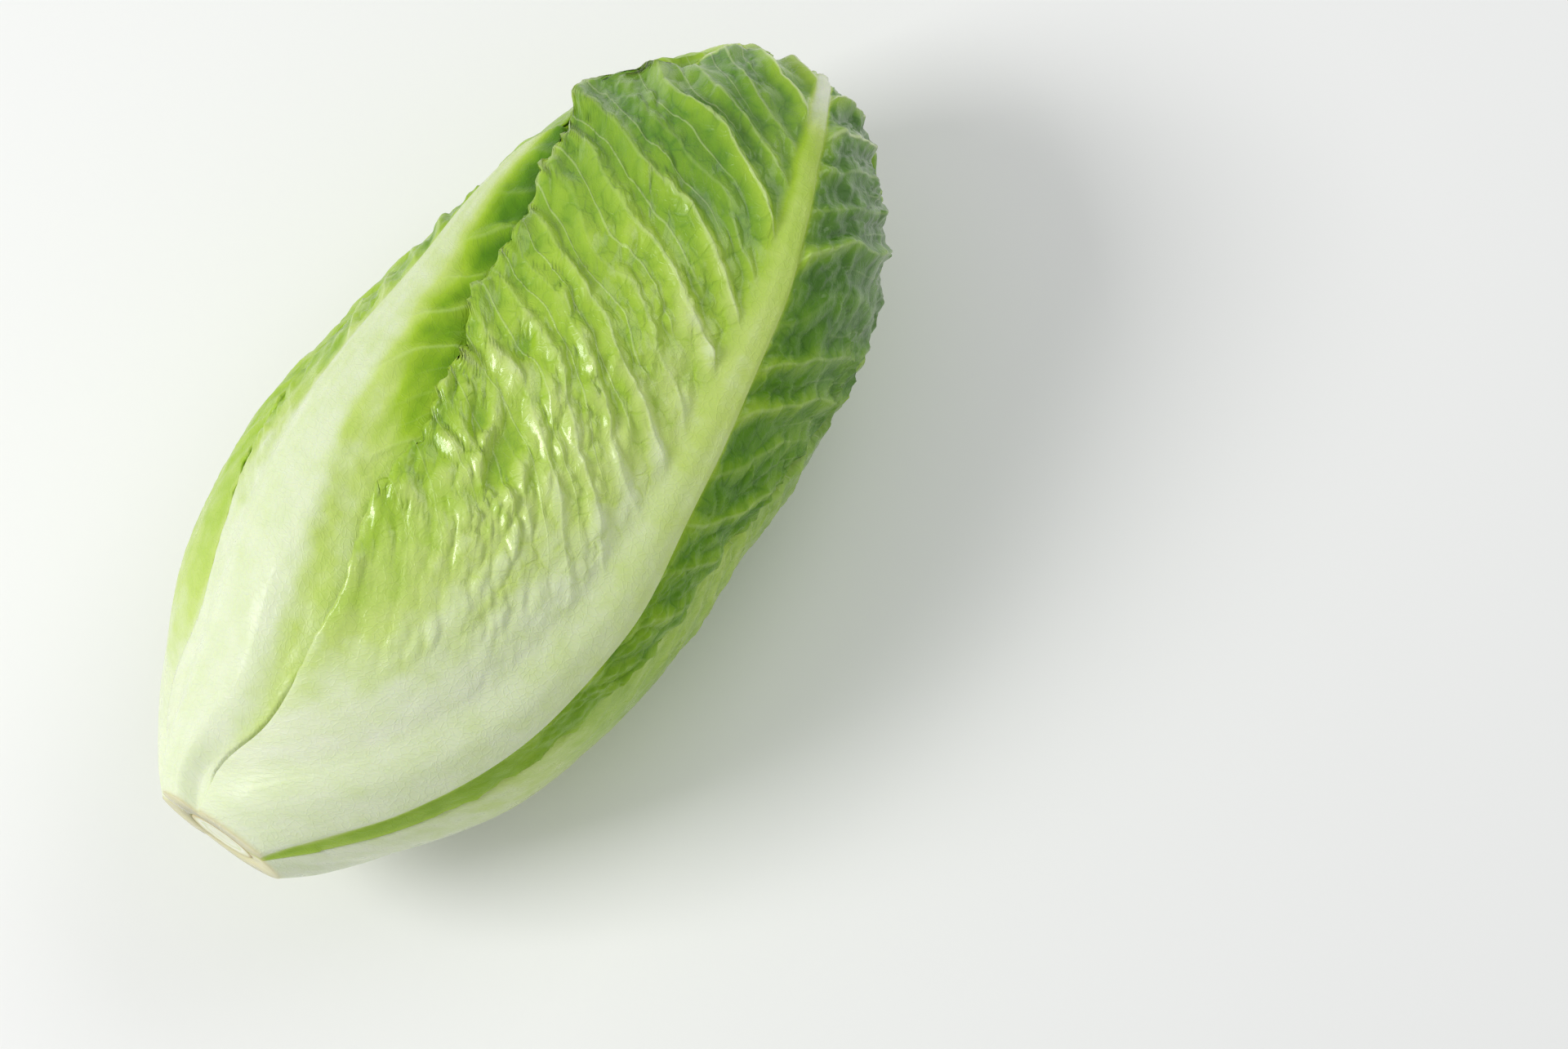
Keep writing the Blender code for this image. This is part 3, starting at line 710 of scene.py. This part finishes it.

# %% [markdown]
# ## Greenness
# Leaf tissue is green where light reached it as it grew: dark at the tip and on the side that faced the
# sky, yellow-green in the middle, and white at the base and in the midrib. The darker right side, the paler
# left side and a flank under another leaf also carry painted shade and painted light. This could be one
# gradient. Here it also listens to the veins and puckers: creases, dimples and the valleys between vein
# ridges are painted greener as shade, and pillows and ridges paler as highlight.

# %% One number for the colour


def midrib_mask(leaf, f):
    """1 on the pale midrib, 0 on the blade, with a soft and slightly ragged border."""
    beyond = beyond_rib(leaf, f.t, f.w) * (1 + 0.12 * soft_noise(f.s / 0.010, f.w / 0.02, leaf.seed + 12))
    softness = np.where(f.w < 0, *leaf.rib_soft)
    return 1 - ease(1 - softness, 1 + softness, beyond)


def blade_tone(leaf, f):
    """From low at the foot to high at the tip, shifted by the side, swells, puckers, veins and the rim, with
    painted shade and light.
    """
    tone = leaf.low + (leaf.high - leaf.low) * ease(0.20, 0.95, f.t)
    # painted shade: the right side, turned from the light, is darker; partly its own deeper green
    tone = tone + leaf.dark_side * ease(0.0, 0.008, f.w) * (0.45 + 0.55 * ease(0.1, 0.45, f.t))
    # painted light: the lit left blade is paler, most at 0.4 of the way up; partly its own paler tissue
    lit = (1 - ease(0.050, 0.068, -f.w)) * (f.w < 0)
    at_middle = 1 + 0.7 * bell(f.t, 0.40, 0.15) - 1.3 * ease(0.58, 0.80, f.t) + 0.9 * ease(0.88, 0.96, f.t)
    tone = tone - leaf.pale_side * lit * at_middle
    # painted shade in the creases and painted highlight on the pillows; the swells vary the tone at random
    tone = tone + 0.09 * f.swell - 0.16 * f.crumple * (f.pillow - 0.35) + 0.05 * f.crease * f.crumple
    # ridges paler, valleys greener: pale vein tissue and painted light and shade; dimples darker as painted
    # shade
    tone = tone + (0.05 + 0.08 * f.t) * (0.4 * f.clear - f.hill) + 0.20 * f.dimple
    tone = tone - 0.16 * f.hill * f.t * (1 - ease(0.008, 0.034, np.abs(f.w)))
    rim = (1 - ease(0.0, 0.0028, f.margin)) * f.clear
    return tone - (0.10 + leaf.rim_tone * bell(f.t, 0.86, 0.12)) * rim


def greenness(leaf, f):
    """0 on white tissue to 1 on the darkest: the blade's tone, whitened at the base, then the midrib's."""
    streaks = 0.05 * soft_noise(f.w / 0.004, f.s / 0.035, leaf.seed + 13)
    streaks = streaks + 0.05 * soft_noise(f.s / 0.013, f.w / 0.011, leaf.seed + 16)
    white_until, green_from, *outward = leaf.white
    sooner = np.where(f.w < 0, *outward) * np.abs(f.w)
    # painted shade: the white base turns greener on the right flank, which dives under the next leaf's
    # margin
    base = 0.10 + leaf.flank_tone * ease(0.006, 0.016, f.w)
    tone = base + (blade_tone(leaf, f) - base) * ease(white_until, green_from, f.t + sooner + streaks)
    rib = midrib_mask(leaf, f)
    rib_tone = np.interp(f.t, (0, 0.25, 0.6, 0.84, 0.93), leaf.rib_tones)
    strands = 0.02 * soft_noise(f.w / 0.0012, f.s / 0.05, leaf.seed + 14)
    return tone * (1 - rib) + (rib_tone + strands) * rib


# %% What the material reads


def paint_fields(leaf, f):
    """Attributes by name: greenness, how strongly each line shows, gloss, the cut, coordinates."""
    # side veins drawn stronger near the tip: partly pale vein tissue, partly painted highlight from the
    # light behind
    at_tip = 1 + 2.0 * ease(0.82, 0.93, f.t)
    far_off = 1 - 0.65 * ease(0.025, 0.050, np.abs(f.w))
    shaded = (f.w > 0) * (1 - ease(0.80, 0.90, f.t))
    facing = 1 - 0.9 * ease(0.0, 0.006, f.w) * (1 - ease(0.60, 0.85, f.t))
    own_veins = f.grown * leaf.vein_strength
    return {
        "green": greenness(leaf, f),
        "vein_number": f.number,
        "vein_shown": own_veins * far_off * f.own_strength * at_tip * (1 - 0.5 * shaded),
        "twig_shown": own_veins * f.off_rib * (1 - 0.7 * shaded),
        "net_shown": f.clear * ease(0.20, 0.45, f.t) * leaf.net_strength,
        "gloss": 0.10 + 0.55 * f.clear * ease(0.08, 0.30, f.t) * leaf.net_strength * facing,
        "cut": 0.6 * (1 - ease(0.0003, 0.0012, f.s)) if leaf.outside else 0 * f.s,
        "leaf": np.stack([f.s, f.w, np.full_like(f.s, 0.37 * leaf.seed)], axis=-1),
    }


# %% Lay one leaf and build it
THINNED_MARGIN = 0.006
COVER_BEFORE, COVER_AFTER = 0.02, 0.014


def floor_under(leaf, place, angle):
    """Height at which a leaf meets the floor, or stays a gap above it."""
    return floor_height(place, angle) - (0 if leaf.on_floor else LEAF_GAP)


def faces_at(leaf, place, angle, limit):
    """Wanted height of the bare outer face, below cover and floor, and the wall under it."""
    outer = np.minimum(wanted_height(leaf, place, angle), limit)
    outer = np.minimum(outer, floor_under(leaf, place, angle))
    room = np.maximum(outer - STEM_GAP, THINNEST)
    wall = np.minimum(leaf.blade + rib_height(leaf, place, angle), room)
    if leaf.outside:
        wall = np.maximum(wall, room * (1 - ease(0.3 * SIDE_BY_SIDE, SIDE_BY_SIDE, place)))
    return outer, wall


def limit_under(leaf, cover):
    """A gap below the eased cover. The feet of outer leaves stand side by side, so theirs is free of it."""
    if not leaf.outside:
        return eased_cover(cover, INNER_EASING) - INNER_LEAF_GAP
    apart = 1.15 * span(map_places) * (1 - ease(0.3 * SIDE_BY_SIDE, SIDE_BY_SIDE, map_places))
    apart = apart + 0.0009 * (1 - ease(0.6 * SIDE_BY_SIDE, 2.2 * SIDE_BY_SIDE, map_places))
    return eased_cover(cover, EASING) - LEAF_GAP + apart


def lowered_cover(leaf, cover, limit):
    """The cover, lowered to the leaf's inner face wherever the leaf lies."""
    outer, wall = faces_at(leaf, map_places, map_angles, limit)
    v = np.abs(across_at(leaf, map_places, map_angles))
    reach = 1 + COVER_BESIDE / np.maximum(profiles(map_places)[3], 0.004)
    begun = map_places >= leaf.start - COVER_BEFORE
    ended = map_places <= end_at(leaf, np.clip(v, 0, 1)) + COVER_AFTER
    return np.where((v <= reach) & begun & ended, np.minimum(cover, outer - wall), cover)


def lay_leaf(leaf, cover, material):
    """Builds one leaf under the cover, and returns the cover that the next leaf lies under."""
    limit = limit_under(leaf, cover)
    place, angle = leaf_grid(leaf)
    lid = map_value(limit, place, angle)
    outer, wall = faces_at(leaf, place, angle, lid)
    f = surface_fields(leaf, place, angle)
    raised = relief(leaf, f) * (0.15 + 0.85 * ease(0.0, 0.0035, lid - outer))
    lip = lifted_lip(leaf, f)
    thin = 0.45 * leaf.blade * (1 - ease(0.0, THINNED_MARGIN, f.margin)) * (place > SIDE_BY_SIDE)
    crisp = np.minimum(outer + raised + lip - thin, floor_under(leaf, place, angle))
    inner = outer - wall + np.minimum(raised, 0) + 0.9 * lip
    points = np.concatenate([head_point(place, angle, h).reshape(-1, 3) for h in (crisp, inner)])
    points[np.abs(points[:, 2]) < 1e-6, 2] = 0
    doubled = {
        field: np.concatenate([values.reshape(-1, *values.shape[2:])] * 2)
        for field, values in paint_fields(leaf, f).items()
    }
    piece = new_piece(leaf.name + "_blade", points, sheet_faces(*leaf.grid), material, doubled)
    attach(piece, "root")
    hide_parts(leaf.name)
    return lowered_cover(leaf, cover, limit)


# %% [markdown]
# ## The four outer leaves
# The front leaf covers the middle and right of the head and hoods the tip. The back left leaf's edge lies
# over the left leaf, whose broad white midrib shows between them. The head rests on the under leaf. They
# could be modelled one by one to fit. Here they are laid from the outside in, each under the last.

# %% Front leaf


def smoother_by_rib(w, t):
    """0.3 near the rib on the lower half of the leaf, 1 elsewhere: thick tissue puckers less."""
    return 1 - 0.7 * (1 - ease(0.010, 0.040, -w)) * (w < 0) * (1 - ease(0.5, 0.7, t))


front_leaf = new_leaf(
    "front_leaf",
    (
        (0.0, -14, 34, 67), (0.03, -14, 40, 70), (0.055, -13, 45, 72), (0.11, -2, 53, 73.5),
        (0.17, -1, 56.5, 74), (0.24, -4, 57.5, 74), (0.31, -8, 57, 74), (0.38, -11, 55.5, 74.5),
        (0.46, -15, 50, 75), (0.54, -25, 46, 77.5), (0.62, -33, 41.5, 86), (0.69, -41, 37.5, 98),
        (0.745, -54, 32.5, 102), (0.785, -63, 29.5, 105), (0.82, -60, 27, 106), (0.86, -53, 25.5, 105),
        (0.91, -48, 23, 101), (0.96, -44, 21.5, 94), (1.0, -38, 20, 84),
    ),
    level=1.0, rib_height=0.0050, grid=(310, 158), round_tip=0.03, waves=0.0026, seed=11,
    curls=((0.77, -1, 0.035, 0.0016),), lip=0.0026, keel=0.0042, settle=0.0022,
    vein_strength=1.0, net_strength=0.9, pits=0.07, deepest=-0.0011,
    dimples=((0.426, 8, 9, 3.4), (0.442, -2, 4, 2.2), (0.521, -6, 3.5, 2.0)),
    crumple=lambda w, t: np.where(w < 0, 0.50 + 0.75 * bell(t, 0.40, 0.20), 0.70) * smoother_by_rib(w, t),
    low=0.54, high=0.73, dark_side=0.15, pale_side=0.14, rim_tone=0.45, white=(0.30, 0.80, 8.5, 160.0),
    rib_look=((22, 14, 8.5, 5.8, 2.2), (6, 4, 3, 2, 1.6)),
    # the midrib turns near white at the tip: partly its own pale tissue, partly painted highlight from the
    # light behind
    rib_soft=(0.45, 0.30), rib_tones=(0.10, 0.18, 0.34, 0.45, 0.03),
)

# %% Back left leaf and left leaf
back_left_leaf = new_leaf(
    "back_left_leaf",
    (
        (0.0, -153, -118, -86), (0.03, -153, -116, -86), (0.055, -153, -114, -81), (0.12, -152, -110, -62),
        (0.18, -152, -108, -50), (0.25, -152, -106, -52), (0.31, -152, -106, -58), (0.38, -152, -106, -64),
        (0.48, -152, -107, -69), (0.60, -154, -108, -69), (0.70, -156, -107, -62), (0.80, -160, -104, -45),
        (0.90, -164, -101, -34), (0.975, -166, -98, -26),
    ),
    level=1.0, rib_height=0.0048, grid=(250, 110), round_tip=0.045, waves=0.0016, seed=23,
    tuck=0.0016, frill=0.4, keel=0.002, vein_strength=0.6, net_strength=0.5,
    crumple=lambda w, t: 0.25,
    low=0.36, high=0.52, dark_side=0.08, white=(0.10, 0.50, 2.0, 4.0),
    rib_look=((14, 12, 8, 5, 2),) * 2, rib_tones=(0.08, 0.12, 0.22, 0.26, 0.15),
)
left_leaf = new_leaf(
    "left_leaf",
    (
        (0.0, -84.4, -46, -14.9), (0.03, -84.4, -41, -14.7), (0.055, -85, -36, -11), (0.12, -92, -27.5, 8),
        (0.22, -98, -29, 14), (0.34, -100, -35, 12), (0.46, -99, -40.5, 8), (0.55, -97, -45, 0),
        (0.64, -96, -55, -10), (0.72, -96, -62, -20), (0.80, -98, -68, -30), (0.90, -102, -78, -48),
    ),
    level=0.972, rib_height=0.0054, grid=(240, 130), round_tip=0.03, waves=0.0024, seed=37,
    keel=0.0026, fall=0.003, rib_body=(1.0, 2.2), vein_strength=0.8, net_strength=0.25,
    crumple=lambda w, t: np.where(w < 0, 0.55, 0.30),
    low=0.58, high=0.70, dark_side=0.20, flank_tone=0.21, white=(0.36, 0.72, 8.0, 2.5),
    rib_look=((10, 12, 9.5, 5.5, 2), (5, 7, 9, 6, 2)),
    rib_soft=(0.55, 0.80), rib_tones=(0.09, 0.13, 0.20, 0.26, 0.25),
)

# %% Under leaf, and all four laid
under_leaf = new_leaf(
    "under_leaf",
    (
        (0.0, 68, 134, 206), (0.03, 71, 135, 206), (0.055, 69, 137, 208), (0.12, 62, 142, 220),
        (0.22, 56, 150, 228), (0.36, 58, 158, 232), (0.50, 62, 163, 234), (0.64, 74, 166, 234),
        (0.76, 82, 168, 234), (0.86, 90, 168, 236), (0.975, 108, 168, 232),
    ),
    level=0.99, rib_height=0.0040, grid=(250, 140), round_tip=0.04, waves=0.0022, seed=51,
    on_floor=True, vein_strength=0.7, net_strength=0.6,
    crumple=lambda w, t: 0.35,
    low=0.46, high=0.74, white=(0.08, 0.50, 1.5, 1.5),
    rib_look=((15, 13, 9, 6, 2),) * 2, rib_tones=(0.08, 0.12, 0.26, 0.34, 0.3),
)
cover = np.tile((span(cell_places) + HEADROOM)[:, None], (1, ANGLE_CELLS))
for leaf in (front_leaf, back_left_leaf, left_leaf, under_leaf):
    cover = lay_leaf(leaf, cover, outer_tissue)

# %% [markdown]
# ## The leaves inside
# Inside the head each leaf stands a golden angle, about 137.5 degrees, round from the last, so that it
# grows in the widest gap. They could be copies of one leaf. Here each is laid under the map, so every one
# takes the shape that its neighbours leave it, and each is paler and smaller than the last.

# %% Middle and heart leaves
GOLDEN_ANGLE = 137.5


def spiral_leaf(name, k, first_turn, level, start, tip, half_spread, rib, grid, waves, tones):
    """A leaf whose midrib stands k golden angles on, with edges that widen and narrow again by a sine."""
    centre = (first_turn + GOLDEN_ANGLE * k + 180) % 360 - 180
    rows = []
    for t in (0, 0.15, 0.35, 0.6, 0.8, 1.0):
        spread = half_spread * (0.62 + 0.38 * math.sin(math.pi * min(t * 1.15, 1) ** 0.8) - 0.12 * t)
        rows.append((start + (tip - start) * t, centre - spread, centre, centre + spread))
    return new_leaf(
        name, rows, level=level, rib_height=rib * 0.24, grid=grid, round_tip=0.05, waves=waves,
        attach=0.24, outside=False, blade=INNER_BLADE, seed=60 + 17 * int(name[-1]) + grid[0],
        vein_strength=0.8, net_strength=0.5, crumple=lambda w, t: 0.45,
        low=tones[0], high=tones[1], white=(0.10, 0.55, 1.0, 1.0),
        rib_look=((8, 7, 5, 3, 1),) * 2, rib_tones=(0.02, 0.04, 0.10, 0.18, 0.2),
    )


# level, start and tip of each leaf, from the outermost in
MIDDLE = (
    (0.94, 0.08, 0.995), (0.87, 0.093, 0.99), (0.79, 0.106, 0.98), (0.70, 0.119, 0.965),
    (0.60, 0.132, 0.95),
)
HEART = ((0.49, 0.145, 0.90), (0.37, 0.163, 0.87), (0.25, 0.181, 0.83))
inner_leaves = [
    spiral_leaf(f"middle_leaf_{k + 1}", k, 96, *row, 78, 0.010, (120, 72), 0.0018, (0.35, 0.80 - 0.08 * k))
    for k, row in enumerate(MIDDLE)
]
inner_leaves += [
    spiral_leaf(f"heart_leaf_{k + 1}", k, 63, *row, 84, 0.007, (90, 56), 0.0014, (0.25, 0.45 - 0.08 * k))
    for k, row in enumerate(HEART)
]
for leaf in inner_leaves:
    cover = lay_leaf(leaf, cover, heart_tissue)

# %% [markdown]
# ## The cut stem
# The knife leaves a round face: a moist pale pith, a ring of bundles that bleed a little milk, and a firm
# rim that turns tan as it dries. A lathe makes such a shape, and so does a profile turned by an angle in
# arrays.

# %% A turned solid


def turned_points(outline, steps, shrink):
    """Rings of a profile (way from the butt, radius) about the bent middle line, between its two poles."""
    turn = np.linspace(0, 2 * math.pi, steps, endpoint=False)
    ring_x, ring_radius = outline[1:-1, 0][:, None], outline[1:-1, 1][:, None]
    ring_radius = ring_radius * (1 - shrink(ring_x, turn[None, :]))
    ring_x = ring_x + 0 * ring_radius
    x = np.concatenate([outline[:1, 0], ring_x.ravel(), outline[-1:, 0]])
    radius = np.concatenate([[0.0], ring_radius.ravel(), [0.0]])
    turn = np.concatenate([[0.0], np.tile(turn, len(outline) - 2), [0.0]])
    return section_point(x, radius, turn), turn, radius


def turned_faces(rings, steps):
    """Triangles of the rings and of the two fans that close their ends."""
    grid = 1 + np.arange(rings * steps).reshape(rings, steps)
    after = np.roll(grid, -1, axis=1)
    a, b, c, d = grid[:-1], after[:-1], after[1:], grid[1:]
    walls = np.stack([np.stack([a, b, c], -1), np.stack([a, c, d], -1)]).reshape(-1, 3)
    first = np.stack([0 * grid[0], after[0], grid[0]], -1)
    last = np.stack([0 * grid[-1] + rings * steps + 1, grid[-1], after[-1]], -1)
    return np.concatenate([walls, first, last])


# %% The pith of the cut stem
PITH_GRAIN = 0.0018
PITH_BUMP = 0.0004
PITH_WOBBLE = 0.16
PITH_STOPS = (
    (0.0, "#e3e6c4"), (0.45, "#eceed6"), (0.62, "#d8dfae"),
    (0.70, "#f2f2e2"), (0.86, "#dfe0b4"), (1.0, "#b9a069"),
)


def stem_tissue():
    """Moist cut pith: pale, milky bundles in a ring at 0.7 of the radius, green beyond, a dried tan rim."""
    material, tree, shader = new_material("cut_stem_pith")
    across = add(tree, "ShaderNodeAttribute", {}, attribute_name="cut_radius").outputs["Fac"]
    where = add(tree, "ShaderNodeTexCoord", {}).outputs["Object"]
    inputs = {"Vector": where, "Scale": 1 / PITH_GRAIN, "Detail": 5.0}
    noise = add(tree, "ShaderNodeTexNoise", inputs).outputs["Fac"]
    even = add(tree, "ShaderNodeMath", {0: across, 1: 0.5 * PITH_WOBBLE}, operation="SUBTRACT").outputs[0]
    inputs = {0: noise, 1: PITH_WOBBLE, 2: even}
    value = add(tree, "ShaderNodeMath", inputs, operation="MULTIPLY_ADD").outputs[0]
    bump = add(tree, "ShaderNodeBump", {"Height": noise, "Distance": PITH_BUMP, "Strength": 0.7})
    plug(tree, shader, {
        "Base Color": ramp_of(tree, value, PITH_STOPS),
        "Roughness": 0.38,
        "Normal": bump.outputs["Normal"],
        "IOR": 1.38,
        "Subsurface Weight": 0.35,
        "Subsurface Radius": (1.0, 0.9, 0.5),
        "Subsurface Scale": 0.003,
    })
    return material


# %% The cut stem
STEM_STEPS = 96
FACE_RADIUS, FACE_DISH = 8.2, 0.25
RIM_RADIUS = 0.0085
# Distance from the butt and radius in mm.
STEM_SIDE = (
    (0.25, 8.45), (3, 8.9), (9, 9.3), (16, 8.7), (21, 7.1), (27, 5.5), (37, 4.5), (47, 3.7), (54, 0),
)

face = [(FACE_DISH * (1 - (r / FACE_RADIUS) ** 2), r) for r in (0, 1, 2, 3, 4, 5, 6, 7, 7.7, FACE_RADIUS)]
stem_outline = np.vstack([face, smooth_curve(STEM_SIDE, 5)]) * MM
points, _, radius = turned_points(stem_outline, STEM_STEPS, lambda x, a: 0.006 * np.sin(9 * a + x / 0.004))
cut_radius = np.where(points[:, 0] < BUTT_X + 0.0006, radius / RIM_RADIUS, 0.86)
stem_faces = turned_faces(len(stem_outline) - 2, STEM_STEPS)
stem = new_piece("cut_stem", points, stem_faces, stem_tissue(), {"cut_radius": cut_radius})
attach(stem, "root")
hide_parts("stem")

# %% [markdown]
# ## The heart bud
# The last tiny leaves are folded round the growing point as tightly as a rolled umbrella. Each could be a
# sheet, but no gap is left between them, so one turned solid shows their edges as three winding folds.

# %% Heart bud
BUD_STEPS = 120
BUD_OUTLINE = (
    (56, 0), (60, 4), (70, 6.5), (88, 8), (110, 8.6), (132, 8.4), (152, 7.2), (168, 5.4), (180, 3.0),
    (186, 0),
)


def bud_folds(x, a):
    """Three winding leaf edges: a saw, u^2 on one side and steep on the other, plus fine veins."""
    u = (3 * a + x / 0.022) / (2 * math.pi) % 1
    return 0.10 * u**2 * (1 - ease(0.93, 1.0, u)) + 0.012 * np.sin(26 * a + x / 0.011)


bud_outline = smooth_curve(BUD_OUTLINE, 8) * MM
points, turn, _ = turned_points(bud_outline, BUD_STEPS, bud_folds)
run = (points[:, 0] - points[:, 0].min()) / np.ptp(points[:, 0])
plain = 0 * run
bud_fields = {
    "green": 0.10 + 0.30 * run**1.5, "vein_number": points[:, 0] / 0.008,
    "vein_shown": plain, "twig_shown": plain, "net_shown": 0.4 * run, "gloss": 0.2 + plain, "cut": plain,
    "leaf": np.stack([points[:, 0], turn * 0.008, plain], axis=-1),
}
bud_faces = turned_faces(len(bud_outline) - 2, BUD_STEPS)
bud = new_piece("heart_bud_folds", points, bud_faces, heart_tissue, bud_fields)
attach(bud, "root")
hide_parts("heart_bud")

# %% [markdown]
# ## Floor and light
# A food photographer lays such a head on a pale sweep under one large soft window and a weak fill. Small
# hard lamps would give hard shadows, so wide area lights are used, with a bright even sky for the rest.

# %% Floor
bpy.ops.mesh.primitive_plane_add(size=12.0)
floor = bpy.context.object
floor.name = "pale_floor"
floor_material, floor_tree, floor_shader = new_material("matte_paper_sweep")
plug(floor_tree, floor_shader, {"Base Color": linear("#f2f2f0"), "Roughness": 0.9})
floor.data.materials.append(floor_material)

# %% Light
world = bpy.data.worlds.new("even_sky")
bpy.context.scene.world = world
world.use_nodes = True
sky = world.node_tree.nodes["Background"]
plug(world.node_tree, sky, {"Color": (0.96, 0.98, 1.0, 1.0), "Strength": 0.50})


def soft_lamp(name, place, size, power, aim=(0, 0, 0.05)):
    """A square area light at a place, turned towards the head."""
    data = bpy.data.lights.new(name, "AREA")
    data.size = size
    data.energy = power
    lamp = bpy.data.objects.new(name, data)
    lamp.location = place
    back = np.array(place) - np.array(aim)
    tilt = math.atan2(math.hypot(back[0], back[1]), back[2])
    lamp.rotation_euler = (tilt, 0, math.atan2(back[1], back[0]) + math.pi / 2)
    bpy.context.scene.collection.objects.link(lamp)


soft_lamp("window", (-0.76, 0.71, 0.99), 0.55, 12.0)
soft_lamp("glow_behind", (0.80, -0.18, 0.92), 0.8, 3.2)
bpy.context.scene.view_settings.view_transform = "Standard"

# %% [markdown]
# ## Camera
# The photo looks down on the head from the side of its left leaf, with a long lens, and leaves room on the
# right. The frame could be set by eye. Here the lens, the width of a photo pixel on the head and the head's
# place in the frame give the camera's distance and aim.

# %% Camera
AZIMUTH, ELEVATION = math.radians(-56), math.radians(72)
LENS = 100
PHOTO_WIDTH = 1920
PIXEL = 0.0001925
HEAD_MIDDLE = np.array([0.0, -0.0017, 0.054])
PIXELS_TO_RIGHT, PIXELS_DOWN = 303, 99.5
back = np.array([
    math.sin(AZIMUTH) * math.cos(ELEVATION), -math.cos(AZIMUTH) * math.cos(ELEVATION), math.sin(ELEVATION),
])
right = np.array([math.cos(AZIMUTH), math.sin(AZIMUTH), 0.0])
up = np.cross(back, right)
aim = HEAD_MIDDLE + PIXELS_TO_RIGHT * PIXEL * right - PIXELS_DOWN * PIXEL * up
camera_data = bpy.data.cameras.new("camera")
camera_data.lens = LENS
camera = bpy.data.objects.new("camera", camera_data)
camera.location = aim + back * (PHOTO_WIDTH * PIXEL * LENS / camera_data.sensor_width)
camera.rotation_euler = (math.pi / 2 - ELEVATION, 0, AZIMUTH)
bpy.context.scene.collection.objects.link(camera)
bpy.context.scene.camera = camera
print("camera distance in m:", round(float(np.linalg.norm(camera.location)), 3))
